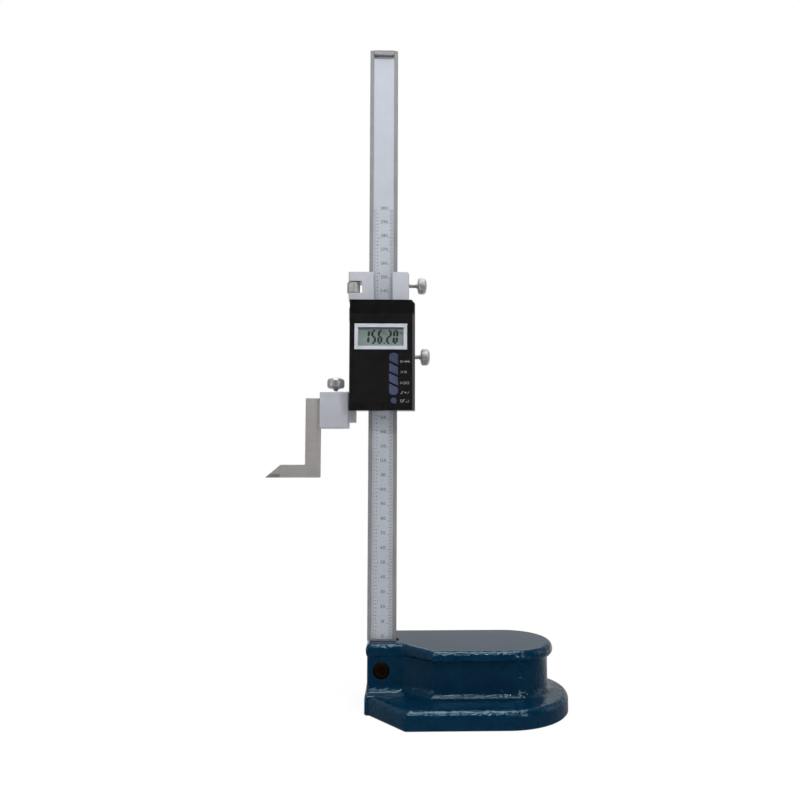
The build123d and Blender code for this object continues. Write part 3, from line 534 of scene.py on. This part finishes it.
lines = bpy.data.node_groups.new("row_of_lines", "GeometryNodeTree")
lines.interface.new_socket("Geometry", in_out="OUTPUT", socket_type="NodeSocketGeometry")
line_inputs = {name: group_input(lines, name, kind, value) for name, kind, value in (
    ("Count", "NodeSocketInt", 10), ("Pitch", "NodeSocketFloat", 0.001),
    ("First", "NodeSocketVector", (0, 0, 0)), ("Short", "NodeSocketFloat", 0.002),
    ("Middle", "NodeSocketFloat", 0.003), ("Long", "NodeSocketFloat", 0.004),
    ("Middle every", "NodeSocketInt", 5), ("Long every", "NodeSocketInt", 10),
    ("Line", "NodeSocketFloat", 0.0001), ("Towards", "NodeSocketFloat", 1.0),
    ("Ink", "NodeSocketMaterial", None))}
given = add_node(lines, "NodeGroupInput")
step = add_node(lines, "ShaderNodeCombineXYZ", inputs={"Z": given.outputs["Pitch"]})
row = add_node(lines, "GeometryNodeMeshLine", {"mode": "OFFSET"},
               {"Count": given.outputs["Count"], "Start Location": given.outputs["First"],
                "Offset": step.outputs[0]})
number = add_node(lines, "GeometryNodeInputIndex")
length = given.outputs["Short"]
for word in ("Middle", "Long"):
    rest = add_node(lines, "ShaderNodeMath", {"operation": "MODULO"},
                    {0: number.outputs[0], 1: given.outputs[word + " every"]})
    hit = add_node(lines, "ShaderNodeMath", {"operation": "LESS_THAN"},
                   {0: rest.outputs[0], 1: 0.5})
    choice = add_node(lines, "ShaderNodeMix", {"data_type": "FLOAT"},
                      {"Factor": hit.outputs[0], 2: length, 3: given.outputs[word]})
    length = choice.outputs[0]
bar = add_node(lines, "GeometryNodeMeshCube", inputs={"Size": (1.0, 0.02 * MM, 1.0)})
sizes = add_node(lines, "ShaderNodeCombineXYZ",
                 inputs={"X": length, "Y": 1.0, "Z": given.outputs["Line"]})
whole = add_node(lines, "ShaderNodeMath", {"operation": "MULTIPLY"},
                 {0: length, 1: given.outputs["Towards"]})
half = add_node(lines, "ShaderNodeMath", {"operation": "MULTIPLY"}, {0: whole.outputs[0], 1: 0.5})
aside = add_node(lines, "ShaderNodeCombineXYZ", inputs={"X": half.outputs[0]})
moved = add_node(lines, "GeometryNodeSetPosition",
                 inputs={"Geometry": row.outputs[0], "Offset": aside.outputs[0]})
bars = add_node(lines, "GeometryNodeInstanceOnPoints",
                inputs={"Points": moved.outputs[0], "Instance": bar.outputs["Mesh"],
                        "Scale": sizes.outputs[0]})
real = add_node(lines, "GeometryNodeRealizeInstances", inputs={"Geometry": bars.outputs[0]})
inked = add_node(lines, "GeometryNodeSetMaterial",
                 inputs={"Geometry": real.outputs[0], "Material": given.outputs["Ink"]})
add_node(lines, "NodeGroupOutput", inputs={"Geometry": inked.outputs[0]})
print("tree ready with inputs", sorted(line_inputs))

# %% Lines on the scale


def grown(group, identifiers, values, name):
    """Run a Geometry Nodes tree with these inputs and hand back its result as a plain mesh."""
    seed = bpy.data.objects.new("seed", bpy.data.meshes.new("seed"))
    bpy.context.scene.collection.objects.link(seed)
    modifier = seed.modifiers.new("nodes", "NODES")
    modifier.node_group = group
    for key, value in values.items():
        modifier[identifiers[key]] = value
    depsgraph = bpy.context.evaluated_depsgraph_get()
    mesh = bpy.data.meshes.new_from_object(seed.evaluated_get(depsgraph))
    mesh.name = name
    seed.modifiers.remove(modifier)
    bpy.data.objects.remove(seed)
    return mesh


ZERO_Z = 46.7 * MM          # height of the scale's zero above the table
INCH = 25.4 * MM
MARGIN = 0.25 * MM          # from the strip's edge to the lines
LINE_WIDTH = 0.2 * MM
strip_low, strip_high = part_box("scale_strip")
ink_y = strip_low.y
mm_lines = grown(lines, line_inputs, {
    "Count": 301, "Pitch": 1 * MM, "First": (strip_high.x - MARGIN, ink_y, ZERO_Z),
    "Short": 2.3 * MM, "Middle": 3.0 * MM, "Long": 3.8 * MM, "Middle every": 5, "Long every": 10,
    "Line": LINE_WIDTH, "Towards": -1.0, "Ink": DIGIT_INK}, "millimetre_lines")
add_object("millimetre_lines", mm_lines, "root")
inch_lines = grown(lines, line_inputs, {
    "Count": 237, "Pitch": INCH / 20, "First": (strip_low.x + MARGIN, ink_y, ZERO_Z),
    "Short": 1.5 * MM, "Middle": 2.2 * MM, "Long": 3.0 * MM, "Middle every": 2, "Long every": 20,
    "Line": LINE_WIDTH, "Towards": 1.0, "Ink": DIGIT_INK}, "inch_lines")
add_object("inch_lines", inch_lines, "root")

# %% [markdown]
# ## Numbers
# The numbers beside the lines are plain type. They could be one text object each, but text has to
# be a mesh before it is placed, and there are over a hundred. So each digit is made once as text,
# turned to a mesh, and its points are copied to wherever the digit is needed.

# %% Digits as meshes


def digit_shapes(text_size):
    """Each digit as (vertices, faces, width), flat in X and Y, standing on the baseline."""
    shapes = {}
    for letter in "0123456789":
        curve = bpy.data.curves.new("digit", "FONT")
        curve.body = letter
        curve.size = text_size
        curve.resolution_u = 3
        holder = bpy.data.objects.new("digit", curve)
        bpy.context.scene.collection.objects.link(holder)
        depsgraph = bpy.context.evaluated_depsgraph_get()
        mesh = bpy.data.meshes.new_from_object(holder.evaluated_get(depsgraph))
        verts = [v.co.copy() for v in mesh.vertices]
        low, high = min(v.x for v in verts), max(v.x for v in verts)
        shapes[letter] = ([v - Vector((low, 0, 0)) for v in verts],
                          [tuple(p.vertices) for p in mesh.polygons], high - low)
        bpy.data.objects.remove(holder)
        bpy.data.meshes.remove(mesh)
    return shapes


big = digit_shapes(3.1 * MM)
small = digit_shapes(1.75 * MM)
print("digits", round(big["8"][2] / MM, 2), "and", round(small["8"][2] / MM, 2), "mm wide")

# %% Numbers on the scale
INK_LIFT = 0.015 * MM


def printed(words, name, shapes, gap):
    """Flat printed numbers facing the front; words holds (text, middle x, middle z)."""
    verts, faces = [], []
    tall = max(v.y for v in shapes["8"][0])
    for text, x, z in words:
        width = sum(shapes[c][2] for c in text) + gap * (len(text) - 1)
        at = x - width / 2
        for c in text:
            points, polygons, wide = shapes[c]
            first = len(verts)
            verts += [(at + p.x, ink_y - INK_LIFT, z - tall / 2 + p.y) for p in points]
            faces += [tuple(first + i for i in polygon) for polygon in polygons]
            at += wide + gap
    return mesh_from(verts, faces, name)


mm_words = [(str(n), 0.5 * MM, ZERO_Z + n * MM + 1.35 * MM) for n in range(0, 301, 10)]
add_object("millimetre_numbers", printed(mm_words, "mm", big, 0.42 * MM),
           "root", DIGIT_INK)
inch_words = []
for tenth in range(1, 118):
    z = ZERO_Z + tenth * INCH / 10
    if tenth % 10:
        inch_words.append((str(tenth % 10), strip_low.x + 3.1 * MM, z))
    else:
        inch_words.append((str(tenth // 10), strip_low.x + 4.1 * MM, z))
add_object("inch_numbers", printed(inch_words, "inch", small, 0.2 * MM),
           "root", DIGIT_INK)

# %% [markdown]
# ## The display
# The reading is seven-segment liquid crystal: slanted bars with mitred ends that lie on the cell.
# A font would draw it with curves that a real display hasn't got. Each bar is a flat hexagon, so a
# digit is at most seven of them, and a letter for each bar says which ones a digit lights.

# %% Bars of the display
SEGMENTS = {"0": "abcdef", "1": "bc", "2": "abged", "3": "abgcd", "4": "fgbc", "5": "afgcd",
            "6": "afgedc", "7": "abc", "8": "abcdefg", "9": "abcdfg"}
DIGIT_W, DIGIT_H, BAR_W, SLANT = 3.7 * MM, 10.2 * MM, 1.6 * MM, 0.09
DIGIT_GAP, POINT_ROOM = 0.8 * MM, 1.5 * MM
POINT = [(-0.8 * MM, -0.5 * MM), (0.2 * MM, -0.5 * MM), (0.2 * MM, 0.5 * MM), (-0.8 * MM, 0.5 * MM)]


def bar_outline(start, end, width):
    """Hexagon along a line, a little shorter than the line so that neighbours stay apart."""
    (x0, z0), (x1, z1) = start, end
    long = hypot(x1 - x0, z1 - z0)
    ux, uz = (x1 - x0) / long, (z1 - z0) / long
    clear = width * 0.06
    half = width / 2
    points = []
    for along, aside in ((clear, 0), (clear + half, half), (long - clear - half, half),
                         (long - clear, 0), (long - clear - half, -half), (clear + half, -half)):
        points.append((x0 + ux * along - uz * aside, z0 + uz * along + ux * aside))
    return points


def reading(text, left, foot):
    """Outlines in X and Z of every lit bar of a number."""
    h, w = DIGIT_H - BAR_W, DIGIT_W - BAR_W
    ends = {"a": ((0, h), (w, h)), "b": ((w, h / 2), (w, h)), "c": ((w, 0), (w, h / 2)),
            "d": ((0, 0), (w, 0)), "e": ((0, 0), (0, h / 2)), "f": ((0, h / 2), (0, h)),
            "g": ((0, h / 2), (w, h / 2))}
    outlines = []
    x = left
    for c in text:
        bars = [POINT] if c == "." else [bar_outline(*ends[s], BAR_W) for s in SEGMENTS[c]]
        outlines += [[(x + px + pz * SLANT, foot + pz) for px, pz in bar] for bar in bars]
        x += POINT_ROOM if c == "." else DIGIT_W + DIGIT_GAP
    return outlines


print("a digit is", DIGIT_W / MM, "by", DIGIT_H / MM, "mm")

# %% Reading on the display


def flat_marks(outlines, y, name):
    """Flat polygons at depth y from outlines in X and Z, each turned to face the front."""
    verts, faces = [], []
    for outline in outlines:
        pairs = zip(outline, outline[1:] + outline[:1])
        turning = sum(x0 * z1 - x1 * z0 for (x0, z0), (x1, z1) in pairs)
        first = len(verts)
        verts += [(x, y, z) for x, z in (outline if turning > 0 else outline[::-1])]
        faces.append(tuple(range(first, first + len(outline))))
    return mesh_from(verts, faces, name)


cell_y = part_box("lcd_panel")[0].y - 0.02 * MM
add_object("display_reading", flat_marks(reading("156.20", left=-11.9 * MM, foot=248.4 * MM),
                                         cell_y, "display_reading"),
           "slider", SEGMENT)
UNIT_X, UNIT_Z = 12.0, 254.6              # millimetres, as are the sizes below
unit_boxes = [(0, 0, 2.4, 0.42), (0.2, 0.75, 0.6, 1.5), (1.1, 0.75, 1.5, 1.5),
              (2.0, 0.75, 2.4, 1.5)]
unit_mark = [[((UNIT_X + px) * MM, (UNIT_Z + pz) * MM)
              for px, pz in ((left, low), (right, low), (right, high), (left, high))]
             for left, low, right, high in unit_boxes]
add_object("display_unit_mark", flat_marks(unit_mark, cell_y, "unit"),
           "slider", SEGMENT)

# %% [markdown]
# ## Marks beside the keys
# Beside each key stands a small printed sign. They are plain signs of this lesson's own, a ring
# with a bar, arrows, a pair of bars, a step and a nought. A font holds no such signs, so each is a
# few strokes of a pen, given as points, and every stretch between two points becomes a flat quad.

# %% Key signs
STROKE = 0.24                             # millimetres, as are the points of the signs
SIGNS_X = 12.3


def strokes(paths, width):
    """Flat strokes as quads along each path, in millimetres of X and Z."""
    polygons = []
    for path in paths:
        for (x0, z0), (x1, z1) in zip(path, path[1:]):
            long = hypot(x1 - x0, z1 - z0)
            nx, nz = -(z1 - z0) / long * width / 2, (x1 - x0) / long * width / 2
            polygons.append([(x0 + nx, z0 + nz), (x1 + nx, z1 + nz),
                             (x1 - nx, z1 - nz), (x0 - nx, z0 - nz)])
    return polygons


def ring(x, z, rx, rz, start=0.0, end=2 * pi, steps=14):
    turns = [start + (end - start) * k / steps for k in range(steps + 1)]
    return [(x + rx * cos(turn), z + rz * sin(turn)) for turn in turns]


signs = [                                 # (height of its middle, strokes round that middle)
    (235.5, [ring(0.9, 0, 0.75, 0.75, pi * 0.7, pi * 2.3), [(0.9, 0.1), (0.9, 1.0)],
             [(2.3, 0.0), (6.4, 0.0)], [(5.7, 0.6), (6.4, 0.0), (5.7, -0.6)],
             [(3.4, 0.7), (3.4, -0.7)], [(4.4, 0.7), (4.4, -0.7)]]),
    (228.3, [[(0.2, -0.8), (1.1, 0.8), (2.0, -0.8)], [(2.6, 0.5), (4.6, 0.5)],
             [(2.6, -0.4), (4.6, -0.4)]]),
    (220.8, [[(0.3, -0.8), (0.3, 0.8)], [(1.2, -0.8), (1.2, 0.8)], ring(3.0, 0, 0.9, 0.8),
             ring(5.2, 0, 0.9, 0.8)]),
    (214.2, [[(0.2, -0.7), (1.3, -0.7), (1.3, 0.7), (2.4, 0.7)], [(3.0, 0.0), (4.4, 0.0)],
             [(3.7, -0.7), (3.7, 0.7)], [(5.0, -0.7), (6.2, 0.7)]]),
    (208.5, [ring(0.9, 0, 0.7, 0.8), [(2.2, -0.7), (2.2, 0.8), (3.4, 0.8)],
             [(3.9, -0.7), (5.9, -0.7), (5.9, 0.6)]]),
]
key_signs = [[((SIGNS_X + px) * MM, (z_mid + pz) * MM) for px, pz in outline]
             for z_mid, paths in signs for outline in strokes(paths, STROKE)]
housing_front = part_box("display_housing")[0].y
add_object("key_signs", flat_marks(key_signs, housing_front - 0.012 * MM, "signs"),
           "slider", LEGEND_INK)

# %% [markdown]
# ## Turned screws and threads
# A thumbscrew is turned in one piece from bar: a threaded shank, a small collar and a head whose
# rim is knurled so that fingers grip it. A Screw modifier could wind the thread, but its ends stay
# open. Here the profile is spun, and the thread is a ramp wound round a closed rod, which keeps
# both solid.

# %% Threads and turned profiles


def threaded(length, radius, pitch, sides=24, rows_per_turn=6):
    """Rod along +Z from 0 whose surface is a single-start thread; open ends are capped."""
    depth = 0.54 * pitch
    rows = int(length / pitch * rows_per_turn)
    verts, faces = [], []
    for r in range(rows + 1):
        z = length * r / rows
        for s in range(sides):
            turn = 2 * pi * s / sides
            wave = (z / pitch - s / sides) % 1.0
            ramp = abs(2 * wave - 1)
            fade = min(1.0, z / pitch, (length - z) / pitch)
            rad = radius - depth * (1 - ramp) * fade
            verts.append((rad * cos(turn), rad * sin(turn), z))
    for r in range(rows):
        for s in range(sides):
            a, b = r * sides + s, r * sides + (s + 1) % sides
            faces.append((a, b, b + sides, a + sides))
    faces.append(tuple(reversed(range(sides))))
    faces.append(tuple(rows * sides + s for s in range(sides)))
    return verts, faces


def turned(profile, sides=64):
    """Closed solid spun round Z from (radius, height) points that start and end on the axis."""
    verts, faces = [(0, 0, profile[0][1])], []
    rings = profile[1:-1]
    for radius, z in rings:
        verts += [(radius * cos(2 * pi * s / sides), radius * sin(2 * pi * s / sides), z)
                  for s in range(sides)]
    verts.append((0, 0, profile[-1][1]))
    last = len(verts) - 1
    for s in range(sides):
        t = (s + 1) % sides
        faces.append((0, 1 + t, 1 + s))
        for r in range(len(rings) - 1):
            a, b = 1 + r * sides + s, 1 + r * sides + t
            faces.append((a, b, b + sides, a + sides))
        end = 1 + (len(rings) - 1) * sides
        faces.append((end + s, end + t, last))
    return verts, faces


def joined(parts, place, name):
    """Several (vertices, faces) lists in one mesh, moved to their place."""
    verts, faces = [], []
    for points, polygons in parts:
        first = len(verts)
        verts += [place @ Vector(p) for p in points]
        faces += [tuple(first + i for i in polygon) for polygon in polygons]
    return mesh_from(verts, faces, name)


def smooth_by_angle(mesh, degrees):
    """Shade round surfaces smooth and keep edges sharper than this angle crisp."""
    work = bmesh.new()
    work.from_mesh(mesh)
    bmesh.ops.recalc_face_normals(work, faces=work.faces)
    for face in work.faces:
        face.smooth = True
    for edge in work.edges:
        if len(edge.link_faces) == 2 and edge.calc_face_angle(0.0) > radians(degrees):
            edge.smooth = False
    work.to_mesh(mesh)
    work.free()


print("one turn of thread has", len(threaded(1.0, 1.0, 1.0)[1]) - 2, "faces")

# %% [markdown]
# ### Knurl
# A knurl is pressed into the rim by two toothed wheels, and leaves small pyramids in crossing
# rows. A bump map would leave the head's outline smooth, so the teeth are real. They repeat by the
# hundred, which is work for Geometry Nodes: two open cylinders, one turned by half a tooth, give
# the points, and each point gets a four-sided cone that stands out from the rim.

# %% Tree for a knurl
knurl = bpy.data.node_groups.new("knurl", "GeometryNodeTree")
knurl.interface.new_socket("Geometry", in_out="OUTPUT", socket_type="NodeSocketGeometry")
knurl_inputs = {name: group_input(knurl, name, kind, value) for name, kind, value in (
    ("Radius", "NodeSocketFloat", 0.006), ("Height", "NodeSocketFloat", 0.005),
    ("Around", "NodeSocketInt", 40), ("Rows", "NodeSocketInt", 5),
    ("Depth", "NodeSocketFloat", 0.0002), ("Metal", "NodeSocketMaterial", None))}
given = add_node(knurl, "NodeGroupInput")
row_height = add_node(knurl, "ShaderNodeMath", {"operation": "DIVIDE"},
                      {0: given.outputs["Height"], 1: given.outputs["Rows"]})
half_turn = add_node(knurl, "ShaderNodeMath", {"operation": "DIVIDE"},
                     {0: pi, 1: given.outputs["Around"]})
fewer = add_node(knurl, "ShaderNodeMath", {"operation": "SUBTRACT"},
                 {0: given.outputs["Rows"], 1: 1.0})
shorter = add_node(knurl, "ShaderNodeMath", {"operation": "SUBTRACT"},
                   {0: given.outputs["Height"], 1: row_height.outputs[0]})
even = add_node(knurl, "GeometryNodeMeshCylinder", {"fill_type": "NONE"},
                {"Vertices": given.outputs["Around"], "Side Segments": given.outputs["Rows"],
                 "Radius": given.outputs["Radius"], "Depth": given.outputs["Height"]})
odd = add_node(knurl, "GeometryNodeMeshCylinder", {"fill_type": "NONE"},
               {"Vertices": given.outputs["Around"], "Side Segments": fewer.outputs[0],
                "Radius": given.outputs["Radius"], "Depth": shorter.outputs[0]})
turn = add_node(knurl, "ShaderNodeCombineXYZ", inputs={"Z": half_turn.outputs[0]})
odd_turned = add_node(knurl, "GeometryNodeTransform",
                      inputs={"Geometry": odd.outputs["Mesh"], "Rotation": turn.outputs[0]})
places = add_node(knurl, "GeometryNodeJoinGeometry", inputs={"Geometry": even.outputs["Mesh"]})
knurl.links.new(odd_turned.outputs[0], places.inputs[0])
outward = add_node(knurl, "GeometryNodeInputNormal")
stand = add_node(knurl, "FunctionNodeAlignRotationToVector", {"axis": "Z"},
                 {"Vector": outward.outputs[0]})
upright = add_node(knurl, "FunctionNodeAlignRotationToVector", {"axis": "X", "pivot_axis": "Z"},
                   {"Rotation": stand.outputs[0], "Vector": (0.0, 0.0, 1.0)})
tooth = add_node(knurl, "GeometryNodeMeshCone", {"fill_type": "NONE"},
                 {"Vertices": 4, "Radius Top": 0.0, "Radius Bottom": 1.0, "Depth": 1.0})
across = add_node(knurl, "ShaderNodeMath", {"operation": "MULTIPLY"},
                  {0: half_turn.outputs[0], 1: given.outputs["Radius"]})
up = add_node(knurl, "ShaderNodeMath", {"operation": "MULTIPLY"},
              {0: row_height.outputs[0], 1: 0.5})
size = add_node(knurl, "ShaderNodeCombineXYZ",
                inputs={"X": up.outputs[0], "Y": across.outputs[0], "Z": given.outputs["Depth"]})
teeth = add_node(knurl, "GeometryNodeInstanceOnPoints",
                 inputs={"Points": places.outputs[0], "Instance": tooth.outputs["Mesh"],
                         "Rotation": upright.outputs[0], "Scale": size.outputs[0]})
real = add_node(knurl, "GeometryNodeRealizeInstances", inputs={"Geometry": teeth.outputs[0]})
metal = add_node(knurl, "GeometryNodeSetMaterial",
                 inputs={"Geometry": real.outputs[0], "Material": given.outputs["Metal"]})
add_node(knurl, "NodeGroupOutput", inputs={"Geometry": metal.outputs[0]})
print("knurl tree ready with inputs", sorted(knurl_inputs))

# %% Teeth of a knurl
KNURL_DEPTH = 0.2 * MM
TOOTH_FOOT = 0.03 * MM      # how far the teeth are sunk into the rim, so that they stay joined


def knurl_teeth(rim, height, middle, around, rows):
    """Teeth of a knurl as (vertices, faces), centred on height middle of the Z axis."""
    mesh = grown(knurl, knurl_inputs, {
        "Radius": rim - TOOTH_FOOT, "Height": height, "Around": around, "Rows": rows,
        "Depth": KNURL_DEPTH, "Metal": KNURLED}, "teeth")
    verts = [v.co + Vector((0, 0, middle)) for v in mesh.vertices]
    faces = [tuple(p.vertices) for p in mesh.polygons]
    bpy.data.meshes.remove(mesh)
    print("knurl with", len(faces) // 4, "teeth")
    return verts, faces


# %% [markdown]
# ### Thumbscrews
# The two side screws point along X and the scriber's screw stands upright. They could be three
# meshes, but they are one design in two sizes, so one function turns them all. Each takes its
# place and its length from the CAD node that it stands for, and rides on the body of that name.

# %% Thumbscrews
PITCH = 0.5 * MM
SHANK_RADIUS = 1.5 * MM
COLLAR = [(0, -0.3), (1.9, -0.3), (2.3, -0.1), (2.3, 0.45)]  # (radius, height over shank), mm
UNDERSIDE = [(-1.8, 0.45), (-0.9, 0.65), (-0.25, 1.15)]      # (past rim, height over shank), mm
KNURL_FROM = 1.7 * MM       # start of the knurl above the shank
DOME = 2.3 * MM             # end of the knurl below the top
DOME_IN, DOME_UP = 2.6 * MM, 2.0 * MM
ROUND_STEPS = 8


def thumbscrew(name, node, axis, head_length, head_radius):
    low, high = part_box(node)
    middle = (low + high) / 2
    if axis == "X":
        place = (Matrix.Translation((low.x, middle.y, middle.z))
                 @ Matrix.Rotation(pi / 2, 4, "Y"))
        total = high.x - low.x
    else:
        place = Matrix.Translation((middle.x, middle.y, low.z))
        total = high.z - low.z
    shank = total - head_length
    rim = head_radius - KNURL_DEPTH
    knurl_low, knurl_high = shank + KNURL_FROM, total - DOME
    profile = [(radius * MM, shank + height * MM) for radius, height in COLLAR]
    profile += [(rim + inwards * MM, shank + height * MM) for inwards, height in UNDERSIDE]
    profile += [(rim, knurl_low), (rim, knurl_high)]
    for step in range(1, ROUND_STEPS):
        turn = radians(90 * step / ROUND_STEPS)
        profile.append((rim - DOME_IN * (1 - cos(turn)), knurl_high + DOME_UP * sin(turn)))
    profile += [(rim - 3.0 * MM, total - 0.16 * MM), (1.6 * MM, total - 0.03 * MM), (0, total)]
    knurled_height = knurl_high - knurl_low - 0.1 * MM
    rows = max(2, round(knurled_height / (0.85 * MM)))
    teeth = knurl_teeth(rim, knurled_height, (knurl_high + knurl_low) / 2, 44, rows)
    mesh = joined([threaded(shank, SHANK_RADIUS, PITCH), turned(profile), teeth], place, name)
    smooth_by_angle(mesh, 25)
    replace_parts(add_object(name, mesh, node, KNURLED), node)


thumbscrew("slider_thumbscrew", "slider_clamp_screw", "X", 6.9 * MM, 5.95 * MM)
thumbscrew("carriage_thumbscrew", "carriage_clamp_screw", "X", 6.9 * MM, 5.95 * MM)
thumbscrew("scriber_thumbscrew", "scriber_clamp_screw", "Z", 8.0 * MM, 6.1 * MM)

# %% [markdown]
# ### Fine-adjust nut and its screw
# The nut is a knurled ring that runs on the adjusting screw, captive in the carriage's window. A
# ring could be cut from a cylinder with a Boolean, but its section is only six points, and joining
# them round the axis gives clean quads.

# %% Fine-adjust nut
NUT_BORE = 1.56 * MM
NUT_CHAMFER = 0.5 * MM
SIDES = 64
nut_low, nut_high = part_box("fine_adjust_nut")
nut_middle = (nut_low + nut_high) / 2
nut_radius, nut_height = (nut_high.x - nut_low.x) / 2, nut_high.z - nut_low.z
rim = nut_radius - KNURL_DEPTH
ring_profile = [(NUT_BORE, 0), (rim - NUT_CHAMFER, 0), (rim, NUT_CHAMFER),
                (rim, nut_height - NUT_CHAMFER), (rim - NUT_CHAMFER, nut_height),
                (NUT_BORE, nut_height)]
verts = [(r * cos(2 * pi * s / SIDES), r * sin(2 * pi * s / SIDES), z)
         for r, z in ring_profile for s in range(SIDES)]
faces = []
for r in range(len(ring_profile)):
    after = (r + 1) % len(ring_profile)
    for s in range(SIDES):
        t = (s + 1) % SIDES
        faces.append((r * SIDES + s, r * SIDES + t, after * SIDES + t, after * SIDES + s))
teeth = knurl_teeth(rim, nut_height - 1.2 * MM, nut_height / 2, 36, 7)
nut = joined([(verts, faces), teeth],
             Matrix.Translation((nut_middle.x, nut_middle.y, nut_low.z)), "nut")
smooth_by_angle(nut, 25)
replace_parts(add_object("knurled_nut", nut, "fine_adjust_nut", KNURLED),
            "fine_adjust_nut")

# %% Adjusting screw
rod_low, rod_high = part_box("adjusting_screw")
rod_middle = (rod_low + rod_high) / 2
rod = joined([threaded(rod_high.z - rod_low.z, SHANK_RADIUS, PITCH)],
             Matrix.Translation((rod_middle.x, rod_middle.y, rod_low.z)), "rod")
smooth_by_angle(rod, 40)
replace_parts(add_object("threaded_rod", rod, "slider", SCREW_STEEL),
            "adjusting_screw")

# %% [markdown]
# The dressed model has to keep the CAD model's box. The view transform is the plain one, so that
# a colour renders about as it is written.

# %% View transform
bpy.context.scene.view_settings.view_transform = "Standard"
